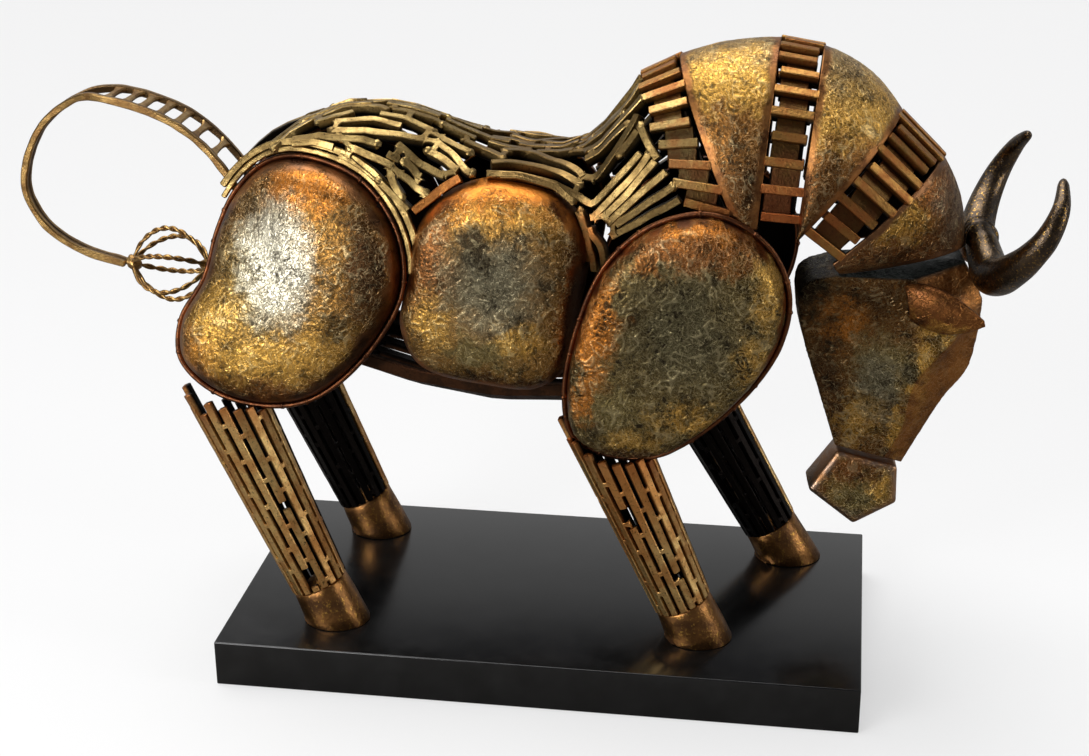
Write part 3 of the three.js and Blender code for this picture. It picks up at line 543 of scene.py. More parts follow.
def hump_surface(start, end, sag, rows, columns, sink=0.6):
    shares = np.linspace(-1, 1, columns + 1)
    lines = []
    for t in np.linspace(0.03, 0.97, rows + 1):
        arch = blend_arch(ARCHES[start], ARCHES[end], t)
        lines.append(arch_point(arch, shares, sink - sag * math.sin(math.pi * t)))
    return np.array(lines), shares


def hump_plate(name, start, end, sag, rows, fold, depth, border):
    points, shares = hump_surface(start, end, sag, rows, 300)
    normals = grid_normals(points)
    if normals[rows // 2, 150, 2] < 0:
        points, normals = points[:, ::-1], -normals[:, ::-1]
        shares = shares[::-1]
    ahead = np.cumsum(np.linalg.norm(np.diff(points, axis=0), axis=-1), axis=0)
    ahead = np.concatenate([np.zeros((1, points.shape[1])), ahead])
    inwards = np.minimum(ahead, ahead[-1] - ahead)
    ragged = np.array([noise.noise(Vector(p) / 8) for p in points.reshape(-1, 3)]).reshape(inwards.shape)
    mask = smooth_step(border * 0.4, border * 1.1, inwards + ragged * 2.5)
    down = np.broadcast_to(abs(shares), inwards.shape)
    belt = 0.6 + 1.3 * np.exp(-((down + ragged * 0.06 - 0.48) / 0.09) ** 2) - 0.25 * smooth_step(0.6, 1,
        down)
    folded, height = relief(points, normals, mask * belt, fold, depth)
    stock = Stock()
    shell(stock, folded, points - normals * SHEET, BACK_SPACING, relief=height, panel=mask, down=down)
    return stock.object(name)


def hump_band(name, start, end, seed):
    """Square cross bars side by side over the hump, some longer, with wide flat bars sunk between."""
    stock = Stock()
    pitch = 2 / BAND_BARS
    begin, finish = ARCHES[start], ARCHES[end]

    def cross_bar(share, low, high, sink, width, depth, **settings):
        places = np.linspace(low, high, 6)
        path = np.array([arch_point(blend_arch(begin, finish, t), share, sink) for t in places])
        under = np.array([arch_point(blend_arch(begin, finish, t), share, sink + 3) for t in places])
        bar(stock, path, path - under, width, depth, bevel=0.5, **settings)

    def spacing(share):
        middle = blend_arch(begin, finish, 0.5)
        return np.linalg.norm(arch_point(middle, share + pitch / 2) - arch_point(middle, share - pitch / 2))

    for i in range(BAND_BARS):
        share = -1 + (i + 0.5) * pitch
        early = 0.05 + 0.07 * math.sin(i * 2.1 + seed)
        late = 0.03 + 0.09 * math.sin(i * 1.3 + seed * 0.7)
        cross_bar(share, -early, 1 + late, -0.4, 5.2, 6.4, wobble=0.1, seed=seed + i)
        if i < BAND_BARS - 1:
            between = share + pitch / 2
            drift = 0.07 * math.sin(i * 2.7 + seed)
            wide = spacing(between) - 3.4
            cross_bar(between, 0.1 + drift, 0.84 + drift, 3.2, wide, 3, wobble=0.1, seed=seed + i,
                shown=0.35)
    for t in (0.2, 0.8):
        arch = blend_arch(begin, finish, t)
        shares = np.linspace(-0.97, 0.97, 60)
        path, under = arch_point(arch, shares, 6.4), arch_point(arch, shares, 9)
        bar(stock, path, path - under, 4, 2.4, seed=seed, shown=0.1)
    return stock.object(name)


# Back lattice

def back_point(share, step):
    """A point of the back's surface: share runs down from the spine, negative on the near side."""
    angle = abs(share) * math.pi / 2
    top, foot = along(SPINE, step), along(BORDER, step)
    drop = 1 - math.cos(angle)
    across = math.copysign(foot[2] * math.sin(angle), share)
    return np.array((top[0] + (foot[0] - top[0]) * drop, across, top[1] + (foot[1] - top[1]) * drop))


def underside_point(share, step):
    angle = abs(share) * math.pi / 2
    keel, edge = along(KEEL, step), along(KEEL_EDGE, step)
    rise = 1 - math.cos(angle)
    across = math.copysign(edge[2] * math.sin(angle), share)
    return np.array((keel[0] + (edge[0] - keel[0]) * rise, across, keel[1] + (edge[1] - keel[1]) * rise))


def outward(point_at, share, step, most, upwards):
    """The direction out of a surface at a share and step."""
    step = min(max(step, 0.05), most - 0.05)
    share = min(max(share, -0.97), 0.97)
    ahead = point_at(share, step + 0.05) - point_at(share, step - 0.05)
    across = point_at(share + 0.015, step) - point_at(share - 0.015, step)
    out = unit(np.cross(ahead, across))
    middle = point_at(0, step) - np.array((0, 0, 50 * upwards))
    return out if np.dot(out, point_at(share, step) - middle) > 0 else -out


def surface_bar(stock, point_at, most, upwards, stops, width, depth, sunk=0, flare=0, seed=0):
    """A bar laid over a surface through (share, step) stops; flare widens it where it is welded."""
    steps = sum(abs(b[1] - a[1]) for a, b in zip(stops, stops[1:]))
    shares = sum(abs(b[0] - a[0]) for a, b in zip(stops, stops[1:]))
    count = 5 + int(steps * 4 + shares * 14)
    places = smooth_curve([(share * 5, step, 0) for share, step in stops], count)
    ups = [outward(point_at, share / 5, step, most, upwards) for share, step, _ in places]
    path = [point_at(share / 5, step) - up * sunk for (share, step, _), up in zip(places, ups)]
    spread = abs(np.linspace(-1, 1, count)) ** 3
    bar(stock, path, ups, width + flare * spread, depth, bevel=0.45, wobble=0.12, seed=seed)
    return path, ups


def back_lattice():
    """Thin bars over rump, loin and neck, level with each other and joined by short welded pieces."""
    stock = Stock()
    surface = (back_point, len(SPINE) - 1, 1)
    for number, stops in enumerate(SPINE_BARS):
        surface_bar(stock, *surface, stops, 4.8, 5.5, seed=number)
    for side in SIDES.values():
        for number, stops in enumerate(BACK_BARS):
            turned = [(share * side, step) for share, step in stops]
            path, ups = surface_bar(stock, *surface, turned, 4.4, 6.5, sunk=0.35 * (number % 3),
                seed=number)
            for end in (0, -1):
                if (number * 7 + end) % 3 == 0:
                    blob(stock, path[end] - ups[end] * 1.6, (3, 1.9), ups[end], seed=number + end)
        for number, stops in enumerate(BACK_WELDS):
            turned = [(share * side, step) for share, step in stops]
            surface_bar(stock, *surface, turned, 3.6, 4.4, sunk=0.5, flare=4, seed=number + 50)
        loop = plate_edge(HAUNCH, side, -2.6, 200)
        lean = plate_axis(HAUNCH, side)
        run = np.concatenate([loop[172:], loop[:46]])[::4]
        bar(stock, run + lean * 1.4, lean, 3.2, 3.4, bevel=0.6, wobble=0.2, seed=9)
        loop = plate_edge(HAUNCH, side, -7, 200)
        run = np.concatenate([loop[174:], loop[:42]])[::4]
        bar(stock, run - lean * 0.8, lean, 4.4, 5, bevel=0.6, wobble=0.2, seed=10)
    return stock.object("back_bars")


def red_bar():
    stock = Stock()
    surface = (back_point, len(SPINE) - 1, 1)
    surface_bar(stock, *surface, [(-share, step) for share, step in RED_BAR], 5, 5.5, seed=3)
    return stock.object("loin_copper_bar")


def underside_lattice():
    stock = Stock()
    surface = (underside_point, len(KEEL) - 1, -1)
    for number, row in enumerate(UNDERSIDE_ROWS):
        stops = [(row, step) for step in np.linspace(0, 6, 13)]
        surface_bar(stock, *surface, stops, 8, 4.5, seed=number)
        for step in (0.15, 1.4, 2.7, 3.4, 4.6, 5.8):
            if number < len(UNDERSIDE_ROWS) - 1:
                stops = [(row, step), (UNDERSIDE_ROWS[number + 1], step + 0.12)]
                surface_bar(stock, *surface, stops, 5, 3.4, sunk=0.6, flare=4, seed=number + 9)
    return stock.object("underside_bars")


# Legs

def leg_frame(leg):
    start = np.array((*leg["foot"], PLINTH_TOP), float)
    axis = unit(np.array((*leg["top"], leg["top_z"]), float) - start)
    forward = unit(np.array((1.0, 0, 0)) - axis * axis[0])
    return start, axis, forward, np.cross(axis, forward)


def inside_outline(x, z, loop):
    """Whether a point lies within a plate's outline, seen from the side."""
    a, b = loop, np.roll(loop, -1, 0)
    crosses = (a[:, 2] > z) != (b[:, 2] > z)
    at = a[:, 0] + (z - a[:, 2]) * (b[:, 0] - a[:, 0]) / np.where(crosses, b[:, 2] - a[:, 2], 1)
    return bool(np.sum(crosses & (x < at)) % 2)


def leg_bars(name, leg):
    """A tapered tube of narrow parallel bars that end at heights of their own, bridged here and there."""
    start, axis, forward, across = leg_frame(leg)
    side = math.copysign(1, leg["foot"][1])
    reach = (leg["top_z"] - PLINTH_TOP) / axis[2]
    loop = plate_edge(leg["under"], side, -0.8, 120)
    pitch = 2 * math.pi / LEG_BARS
    stock = Stock()

    def radius_at(length):
        return LEG_RADIUS[0] + (LEG_RADIUS[1] - LEG_RADIUS[0]) * length / reach

    def out_at(turn):
        return forward * math.cos(turn) + across * math.sin(turn)

    def place(turn, length, sunk=0):
        return start + axis * length + out_at(turn) * (radius_at(length) - sunk)

    def top_of(turn, longest):
        """How far a bar runs before it meets the plate above."""
        for length in np.arange(reach * 0.72, longest, 0.8):
            x, y, z = place(turn, length)
            edge_y = loop[np.argmin(np.hypot(loop[:, 0] - x, loop[:, 2] - z)), 1]
            if inside_outline(x, z, loop) and y * side > edge_y * side - 4:
                return length + (4 + 3 * math.sin(turn * 9) if y * side > edge_y * side + 5 else 0)
        return longest

    tops = []
    for i in range(LEG_BARS):
        shown = out_at(i * pitch)[1] * side > -0.25
        extra = BAR_TOPS[i % len(BAR_TOPS)] if shown else INNER_BAR_TOPS[i % len(INNER_BAR_TOPS)]
        tops.append(top_of(i * pitch, reach + extra))
    for i in range(LEG_BARS):
        out = out_at(i * pitch)
        shown = float(out[1] * side > -0.25)
        spans, low = [], HOOF_LENGTH + 0.3
        for number, lost_low, lost_high in LOST[name]:
            if number == i:
                spans.append((low, HOOF_LENGTH + lost_low))
                low = HOOF_LENGTH + lost_high
        for low, high in [*spans, (low, tops[i])]:
            lengths = np.linspace(low, high, max(int((high - low) / 6), 3))
            path = np.array([place(i * pitch, length) for length in lengths])
            width = 2 * radius_at(lengths) * math.sin(pitch / 2) * 0.64
            bar(stock, path, out, width, 4.6, bevel=0.45, wobble=0.2, seed=i, shown=shown,
                hot_end=high > reach * 0.85)
        for k in range(4):
            length = HOOF_LENGTH + 4 + (reach - HOOF_LENGTH) * ((i * 0.382 + k * 0.27) % 1)
            if length > min(tops[i], tops[(i + 1) % LEG_BARS]) - 4:
                continue
            turns = np.linspace(i, i + 1, 5) * pitch
            path = np.array([place(turn, length + 1.5 * math.sin(i * 5 + k), 0.25) for turn in turns])
            outs = np.array([out_at(turn) for turn in turns])
            width = 2.8 + 3.2 * np.array((1, 0.3, 0, 0.3, 1))
            bar(stock, path, outs, width, 3.2, bevel=0.4, wobble=0.2, seed=i * 3 + k, shown=shown)
    return stock.object(name + "_bars")


def hoof(name, leg):
    """A tapered round hoof with a sloped foot, a ledge and a low cap that the bars stand round."""
    start, axis, forward, across = leg_frame(leg)
    sides = 72
    turns = np.linspace(0, 2 * math.pi, sides, endpoint=False)
    profile = [(0, 19.0), (0.6, 19.3), (6, 18.9), (14, 18.4), (21, 18), (26.2, 17.6), (27, 17),
        (27, 11.9), (27.6, 11.5), (30.6, 7), (31.8, 2.5), (32, 0.3)]
    rings = []
    for length, radius in profile:
        ring = []
        for turn in turns:
            out = forward * math.cos(turn) + across * math.sin(turn)
            at = start + axis * length + out * radius
            dent = 0.35 * noise.noise(Vector(at) / 7) if radius > 17.5 else 0
            at = at + out * dent
            if length < 1:
                at = at + axis * ((PLINTH_TOP + 0.3 + length * 0.8 - at[2]) / axis[2])
            ring.append(at)
        rings.append(ring)
    stock = Stock()
    skin(stock, np.array(rings), outer=1)
    return stock.object(name.replace("leg", "hoof") + "_cone")


# Head

def head_place(forward, across, height):
    c, s = math.cos(HEAD_TURN), math.sin(HEAD_TURN)
    forward, across = np.asarray(forward, float), np.asarray(across, float)
    x, y = HEAD_X + forward * c - across * s, forward * s + across * c
    return np.stack([x, y, np.broadcast_to(np.asarray(height, float), x.shape)], -1)


def head():
    """The faceted head: side faces, narrower bevel faces, a forehead and a throat."""
    levels = smooth_curve([(*ring["jaw"], *ring["cheek"], *ring["brow"]) for ring in HEAD_RINGS], 120)
    spans = (("jaw", "cheek", 62), ("cheek", "brow", 24))
    parts = {"jaw": slice(0, 3), "cheek": slice(3, 6), "brow": slice(6, 9)}
    half = []
    for start, end, count in spans:
        for t in np.linspace(0, 1, count, endpoint=False):
            half.append((blend(levels[:, parts[start]], levels[:, parts[end]], t), end == "brow"))
    half.append((levels[:, parts["brow"]], True))
    near = [head_place(f, -w, h) for f, w, h in (point.T for point, _ in half)]
    far = [head_place(f, w, h) for f, w, h in (point.T for point, _ in half)]
    forehead = [blend(near[-1], far[-1], t) for t in np.linspace(0, 1, 24)[1:-1]]
    throat = [blend(far[0], near[0], t) for t in np.linspace(0, 1, 26)[1:-1]]
    points = np.stack([*near, *forehead, *far[::-1], *throat], axis=1)
    bevel = np.array([*(flag for _, flag in half), *[False] * len(forehead),
        *(flag for _, flag in half[::-1]), *[False] * len(throat)], float)
    padded = np.concatenate([points[:, -2:], points, points[:, :2]], axis=1)
    normals = grid_normals(padded)[:, 2:-2]
    centre = points.mean(axis=1, keepdims=True)
    if np.sum(normals * (points - centre)) < 0:
        normals = -normals
    softened = np.stack([np.roll(points, k, 1) for k in (-1, 0, 1)]).mean(axis=0)
    flat = np.broadcast_to(1 - bevel, points.shape[:2])
    mask = 0.45 + 0.55 * flat
    folded, height = relief(softened, normals, mask, 4.2, 0.45, seed=2)
    stock = Stock()
    rows, columns = folded.shape[:2]
    faces = grid_faces(rows, columns, wrapped=True)
    a, b, c = (folded.reshape(-1, 3)[faces[0][k]] for k in range(3))
    turned = np.dot(np.cross(b - a, c - b), normals[0, 0]) < 0
    faces = faces[:, ::-1] if turned else faces
    ends = [list(range(columns)), list(range((rows - 1) * columns, rows * columns))[::-1]]
    ends = ends if turned else [end[::-1] for end in ends]
    top = np.clip(1 - np.arange(rows)[:, None] / 3, 0, 1) * np.ones((1, columns))
    stock.add(folded, [*faces.tolist(), *ends], relief=height, panel=0.35 + 0.65 * flat, top=top)
    return stock.object("head_box")


def muzzle():
    """A blunt five-sided block with softened edges."""
    n = 34
    corners = np.array(MUZZLE_OUTLINE, float)
    closed = np.vstack([corners, corners[:1]])
    length = np.cumsum([0, *np.linalg.norm(np.diff(closed[:, :2], axis=0), axis=1)])
    stops = np.linspace(0, length[-1], 4 * n, endpoint=False)
    loop = np.stack([np.interp(stops, length, column) for column in closed.T], -1)
    for _ in range(2):
        loop = (np.roll(loop, 1, 0) + loop * 2 + np.roll(loop, -1, 0)) / 4
    share, turn = disc_grid(n)
    closed = np.vstack([loop, loop[:1]])
    edge = np.stack([np.interp(turn * 4 * n, np.arange(4 * n + 1), column) for column in closed.T], -1)
    middle = loop.mean(axis=0)
    flat = middle + (edge - middle) * share[..., None]
    round_off = 1.5 * smooth_step(0.86, 1.0, share) ** 2
    stock = Stock()
    sides = {}
    for side in (-1, 1):
        points = head_place(flat[..., 0], side * (flat[..., 2] - round_off), flat[..., 1])
        normals = grid_normals(points)
        out = head_place(0, side, 0) - head_place(0, 0, 0)
        if np.sum(normals * out) < 0:
            points = points.swapaxes(0, 1)
            normals = grid_normals(points)
        inner = 1 - smooth_step(0.75, 1, share if side < 0 else share)
        folded, height = relief(points, normals, inner, 4.6, 0.5, seed=5)
        start = stock.count
        stock.add(folded, grid_faces(n + 1, n + 1), relief=height, panel=inner)
        ring = border_loop(n + 1, n + 1)
        sides[side] = (folded.reshape(-1, 3)[ring], ring + start)
    near, far = sides[-1], sides[1]
    shift = int(np.argmin(np.linalg.norm((far[0] - near[0][0])[:, [0, 2]], axis=1)))
    order = (shift - np.arange(4 * n)) % (4 * n)
    columns = [near[0]] + [None] * 11 + [far[0][order]]
    for k in range(1, 12):
        t = k / 12
        swell = 1 + 0.02 * math.sin(math.pi * t)
        columns[k] = blend(near[0], far[0][order], t)
        centre = columns[k].mean(axis=0)
        columns[k] = centre + (columns[k] - centre) * swell
    inner_columns = np.stack(columns[1:-1], axis=1)
    start = stock.count
    stock.add(inner_columns, [], relief=0.5, panel=0)
    index = start + np.arange(inner_columns.shape[0] * 11).reshape(-1, 11)
    table = np.concatenate([near[1][:, None], index, far[1][order][:, None]], axis=1)
    beside = np.roll(table, -1, 0)
    quads = np.stack([table[:, :-1], table[:, 1:], beside[:, 1:], beside[:, :-1]], -1).reshape(-1, 4)
    stock.faces.extend([tuple(int(i) for i in face) for face in quads])
    return stock.object("muzzle_block")


def ear(name, side):
    """A rolled leaf of sheet metal: an open hoop that faces down and narrows to a tip."""
    rows, columns = 48, 60
    stations = [(0, 0.72, 0), (0.14, 0.93, 0), (0.4, 1, 0), (0.7, 0.72, 0), (1, 0.14, 0)]
    widths = smooth_curve(stations, rows + 1)

    def face(thinner):
        lines = []
        for t, width, _ in widths:
            centre = blend(EAR["root"], EAR["tip"], t)
            angle = np.radians(np.linspace(-50, 230, columns + 1))
            high = max(EAR["height"] * width - thinner, 0.4)
            wide = max(EAR["reach"] * width - thinner, 0.4)
            lines.append(head_place(centre[0] - 3 * np.sin(angle) * width,
                side * (centre[1] + wide * np.cos(angle)), centre[2] + high * np.sin(angle)))
        return np.array(lines)

    outer, inner = face(0), face(1.6)
    if side > 0:
        outer, inner = outer[:, ::-1], inner[:, ::-1]
    normals = grid_normals(outer)
    if np.sum(normals * (outer - inner)) < 0:
        outer, inner = outer[:, ::-1], inner[:, ::-1]
        normals = grid_normals(outer)
    folded, height = relief(outer, normals, np.ones(outer.shape[:2]), 5, 0.3, seed=9)
    stock = Stock()
    shell(stock, folded, inner, 4, relief=height, panel=0.5)
    return stock.object(name)


def horn(name, side):
    """A curved tapering horn with a shallow crease along it."""
    path = smooth_curve([(*head_place(f, side * w, h), r) for f, w, h, r in HORN_PATH], 110)
    back = head_place(0, 0, 0) - head_place(1, 0, 0)
    sides = 56
    turns = np.linspace(0, 2 * math.pi, sides, endpoint=False)
    crease = 1 - 0.07 * np.exp(-((turns - 4.1) / 0.22) ** 2) + 0.02 * np.cos(3 * turns)
    sections = np.stack([np.cos(turns), np.sin(turns)], -1) * crease[:, None]
    tip_round = np.sqrt(np.clip(1 - np.clip((np.arange(110) - 104) / 5.2, 0, 1) ** 2, 0.02, 1))
    sections = sections[None] * (path[:, 3] * tip_round)[:, None, None]
    rings = sweep_rings(path[:, :3], back, sections)
    lateral = head_place(0, 1, 0) - head_place(0, 0, 0)
    start = unit(path[1, :3] - path[0, :3])
    shift = ((path[0, :3] - rings[0]) @ lateral) / (start @ lateral)
    rings[0] = rings[0] + start * shift[:, None]
    stock = Stock()
    skin(stock, rings, outer=1)
    return stock.object(name)


def horn_collar():
    """The short tube between the horns, with a thin ring at each end and one beside the middle."""
    half = COLLAR["length"] / 2
    profile = [(-half, 0.86), (-half + 0.3, 0.98), (-half + 1, 1.04), (-half + 1.8, 0.98),
        (-half + 2.2, 0.93), (-1, 0.95), (0.2, 0.95), (0.6, 1), (1.3, 1.03), (2, 1), (2.4, 0.95),
        (half - 1.8, 0.98), (half - 1, 1.04), (half - 0.3, 0.98), (half, 0.86)]
    rings = []
    for w, scale in profile:
        section = round_section(COLLAR["radius"] * scale, 48)
        rings.append(head_place(COLLAR["s"] + section[:, 0], w, COLLAR["z"] + section[:, 1]))
    stock = Stock()
    rings = np.array(rings)
    skin(stock, rings[:, ::-1], outer=1)
    return stock.object("horn_collar_rings")


# Tail

def tail():
    """Two rails with rungs between them that close into one loop."""
    stock = Stock()
    middle = smooth_curve([(x, half, z) for x, z, half in TAIL_PATH], 170)
    for side in (-1, 1):
        path = middle * np.array((1, side, 1))
        ups = np.tile((0.0, side, 0), (len(path), 1))
        path = path + ups * RAIL / 2
        bar(stock, path, ups, RAIL, RAIL, bevel=0.8, wobble=0.35, seed=side)
    first_part = middle[:90]
    for number in range(RUNGS["count"]):
        x = RUNGS["first"] + (RUNGS["last"] - RUNGS["first"]) * number / (RUNGS["count"] - 1)
        k = int(np.argmin(abs(first_part[:, 0] - x)))
        k = min(max(k, 1), 88)
        run = unit(middle[k + 1] - middle[k - 1])
        out = np.cross(run, (0, 1.0, 0))
        out = out if out[2] > 0 else -out
        centre = middle[k]
        shares = np.array((-1, -0.8, -0.55, -0.2, 0.2, 0.55, 0.8, 1))
        path = np.array([(centre[0], share * centre[1], centre[2]) for share in shares]) + out * 1.6
        width = 4.2 + 5.5 * np.array((1, 0.45, 0.08, 0, 0, 0.08, 0.45, 1))
        bar(stock, path, out, width, 3.2, bevel=0.9, wobble=0.4, seed=number)
    return stock.object("tail_rails")


def tassel():
    """Pairs of twisted wires that swell out between two small knots."""
    stock = Stock()
    length = TASSEL["to"] - TASSEL["from"]
    stations = 90
    for number in range(TASSEL["pairs"]):
        angle = (number + 0.5) / TASSEL["pairs"] * 2 * math.pi
        out = np.array((0, math.cos(angle), math.sin(angle)))
        side = np.array((0, -math.sin(angle), math.cos(angle)))
        t = np.linspace(0, 1, stations)
        middle = np.array((TASSEL["from"], 0, TASSEL["z"])) + np.outer(t, (length, 0, 0))
        middle = middle + np.outer(np.sin(math.pi * t) ** 0.6 * TASSEL["radius"], out)
        for strand in (0, math.pi):
            turn = t * TASSEL["twists"] * 2 * math.pi + strand + number
            path = middle + np.outer(np.cos(turn) * 0.95, out) + np.outer(np.sin(turn) * 0.95, side)
            skin(stock, sweep_rings(path, out, round_section(0.95, 7)), outer=1)
    for x in (TASSEL["from"], TASSEL["to"]):
        blob(stock, np.array((x, 0, TASSEL["z"])), (5, 5), (1.0, 0, 0), seed=x, rows=14, sides=20)
    return stock.object("tassel_wires")


# Plinth

def plinth():
    """A flat board with softened edges."""
    low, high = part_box("plinth")
    mesh = bpy.data.meshes.new("plinth_board")
    corners = [(x, y, z) for x in (low.x, high.x) for y in (low.y, high.y) for z in (low.z, high.z)]
    faces = [(0, 1, 3, 2), (4, 6, 7, 5), (0, 4, 5, 1), (2, 3, 7, 6), (0, 2, 6, 4), (1, 5, 7, 3)]
    mesh.from_pydata(corners, [], faces)
    board = bpy.data.objects.new("plinth_board", mesh)
    bpy.context.scene.collection.objects.link(board)
    softened = board.modifiers.new("soft_edges", "BEVEL")
    softened.width = 0.9 * MM
    softened.segments = 3
    return board


# Materials

def node(tree, kind, settings=None, inputs=None):
    """Adds a shader node. inputs is {socket name or number: value or the socket that feeds it}."""
    made = tree.nodes.new("ShaderNode" + kind)
    for name, value in (settings or {}).items():
        setattr(made, name, value)
    for key, value in (inputs or {}).items():
        socket = made.inputs[key]
        if isinstance(value, bpy.types.NodeSocket):
            tree.links.new(value, socket)
        else:
            socket.default_value = value
    return made


def mixed(tree, factor, a, b, mode="MIX"):
    """Colour a turned towards colour b by factor."""
    made = node(tree, "Mix", {"data_type": "RGBA", "blend_type": mode}, {0: factor, 6: a, 7: b})
    return made.outputs[2]


def maths(tree, operation, a, b=0.5, clamp=False):
    made = node(tree, "Math", {"operation": operation, "use_clamp": clamp}, {0: a, 1: b})
    return made.outputs[0]


def ranged(tree, value, low, high, start=0.0, end=1.0):
    made = node(tree, "MapRange", {"interpolation_type": "SMOOTHSTEP"},
        {"Value": value, "From Min": low, "From Max": high, "To Min": start, "To Max": end})
    return made.outputs["Result"]


def colour(r, g, b):
    return (r, g, b, 1)


def new_group(name, inputs, outputs):
    """A node group with its sockets, and the nodes that hold them."""
    tree = bpy.data.node_groups.new(name, "ShaderNodeTree")
    for label, kind, value in inputs:
        socket = tree.interface.new_socket(label, in_out="INPUT", socket_type="NodeSocket" + kind)
        socket.default_value = value
    for label, kind in outputs:
        tree.interface.new_socket(label, in_out="OUTPUT", socket_type="NodeSocket" + kind)
    return tree, tree.nodes.new("NodeGroupInput").outputs, tree.nodes.new("NodeGroupOutput").inputs


def foil_group():
    """Wrinkled foil: thin ridges that wander and meet, as height, ridge lines and the hollows between."""
    tree, given, out = new_group("Wrinkled foil",
        [("Fold Size", "Float", 0.004), ("Shift", "Float", 0.0), ("Line Width", "Float", 0.04)],
        [("Height", "Float"), ("Ridge", "Float"), ("Hollow", "Float")])
    place = node(tree, "TexCoord").outputs["Object"]
    spread = maths(tree, "DIVIDE", 1.0, given["Fold Size"])
    shifted = node(tree, "VectorMath", {"operation": "SCALE"}, {0: place, "Scale": spread})
    moved = node(tree, "VectorMath", {"operation": "ADD"}, {0: shifted.outputs[0], 1: given["Shift"]})
    bend = node(tree, "TexNoise", None, {"Vector": moved.outputs[0], "Scale": 0.5, "Detail": 1.0})
    bent = node(tree, "VectorMath", {"operation": "MULTIPLY_ADD"},
        {0: bend.outputs["Color"], 1: (2.4, 2.4, 2.4), 2: moved.outputs[0]}).outputs[0]
    lines, away = [], None
    for scale in (0.9, 1.9):
        field = node(tree, "TexNoise", None,
            {"Vector": bent, "Scale": scale, "Detail": 0.6, "Roughness": 0.5})
        away = maths(tree, "ABSOLUTE", maths(tree, "SUBTRACT", field.outputs["Fac"], 0.5))
        lines.append(ranged(tree, away, given["Line Width"], 0.0))
    ridge = maths(tree, "MAXIMUM", lines[0], maths(tree, "MULTIPLY", lines[1], 0.75))
    grain = node(tree, "TexNoise", None, {"Vector": bent, "Scale": 3.4, "Detail": 2.0, "Roughness": 0.6})
    height = maths(tree, "ADD", maths(tree, "MULTIPLY", ridge, 0.7),
        maths(tree, "MULTIPLY", grain.outputs["Fac"], 0.4))
    tree.links.new(height, out["Height"])
    tree.links.new(ridge, out["Ridge"])
    tree.links.new(maths(tree, "MULTIPLY", ranged(tree, ridge, 0.5, 0.0),
        ranged(tree, grain.outputs["Fac"], 0.62, 0.4)), out["Hollow"])
    return tree


def patch_group():
    """A soft patch around a centre: 1 in its middle to 0 where a point is as far off as reach."""
    tree, given, out = new_group("Patina patch",
        [("Place", "Vector", (0, 0, 0)), ("Centre", "Vector", (0, 0, 0)), ("Reach", "Vector", (1, 1, 1))],
        [("Mask", "Float")])
    away = node(tree, "VectorMath", {"operation": "SUBTRACT"}, {0: given["Place"], 1: given["Centre"]})
    shares = node(tree, "VectorMath", {"operation": "DIVIDE"}, {0: away.outputs[0], 1: given["Reach"]})
    length = node(tree, "VectorMath", {"operation": "LENGTH"}, {0: shares.outputs[0]})
    tree.links.new(ranged(tree, length.outputs["Value"], 1.0, 0.25), out["Mask"])
    return tree


def pitting_group():
    """Small pits and clouded tarnish."""
    tree, given, out = new_group("Pitted tarnish", [("Size", "Float", 0.004)],
        [("Height", "Float"), ("Cloud", "Float"), ("Speck", "Float")])
    place = node(tree, "TexCoord").outputs["Object"]
    scaled = node(tree, "VectorMath", {"operation": "DIVIDE"}, {0: place, 1: given["Size"]})
    cloud = node(tree, "TexNoise", None, {"Vector": scaled.outputs[0], "Scale": 0.35, "Detail": 4.0,
        "Roughness": 0.65})
    pits = node(tree, "TexNoise", None, {"Vector": scaled.outputs[0], "Scale": 2.6, "Detail": 3.0,
        "Roughness": 0.7})
    tree.links.new(pits.outputs["Fac"], out["Height"])
    tree.links.new(ranged(tree, cloud.outputs["Fac"], 0.38, 0.64), out["Cloud"])
    tree.links.new(ranged(tree, pits.outputs["Fac"], 0.56, 0.68), out["Speck"])
    return tree


FOIL, PATCH, PITTING = foil_group(), patch_group(), pitting_group()


def grouped(tree, group, inputs):
    made = tree.nodes.new("ShaderNodeGroup")
    made.node_tree = group
    for name, value in inputs.items():
        if isinstance(value, bpy.types.NodeSocket):
            tree.links.new(value, made.inputs[name])
        else:
            made.inputs[name].default_value = value
    return made.outputs


def new_material(name, metallic=1.0):
    material = bpy.data.materials.new(name)
    material.use_nodes = True
    tree = material.node_tree
    shader = tree.nodes["Principled BSDF"]
    shader.inputs["Metallic"].default_value = metallic
    return material, tree, shader


def value_of(tree, name):
    return node(tree, "Attribute", {"attribute_name": name}).outputs["Fac"]


def patched(tree, place, base, patches):
    """Lays soft patches of colour over a base: each has its centre and reach in x and z."""
    for centre, reach, tone, strength in patches:
        mask = grouped(tree, PATCH, {"Place": place,
            "Centre": (centre[0] * MM, BULL_Y * MM, centre[1] * MM),
            "Reach": (reach[0] * MM, 10.0, reach[1] * MM)})["Mask"]
        base = mixed(tree, maths(tree, "MULTIPLY", mask, strength), base, tone)
    return base


def ragged_place(tree, place):
    """Object places moved about by noise, so that patches end raggedly, with the noise itself."""
    ragged = node(tree, "TexNoise", None, {"Vector": place, "Scale": 70.0, "Detail": 6.0,
        "Roughness": 0.72})
    away = node(tree, "VectorMath", {"operation": "SUBTRACT"},
        {0: ragged.outputs["Color"], 1: (0.5, 0.5, 0.5)})
    moved = node(tree, "VectorMath", {"operation": "MULTIPLY_ADD"},
        {0: away.outputs[0], 1: (0.05, 0.05, 0.05), 2: place})
    return moved.outputs[0], ragged.outputs["Fac"]


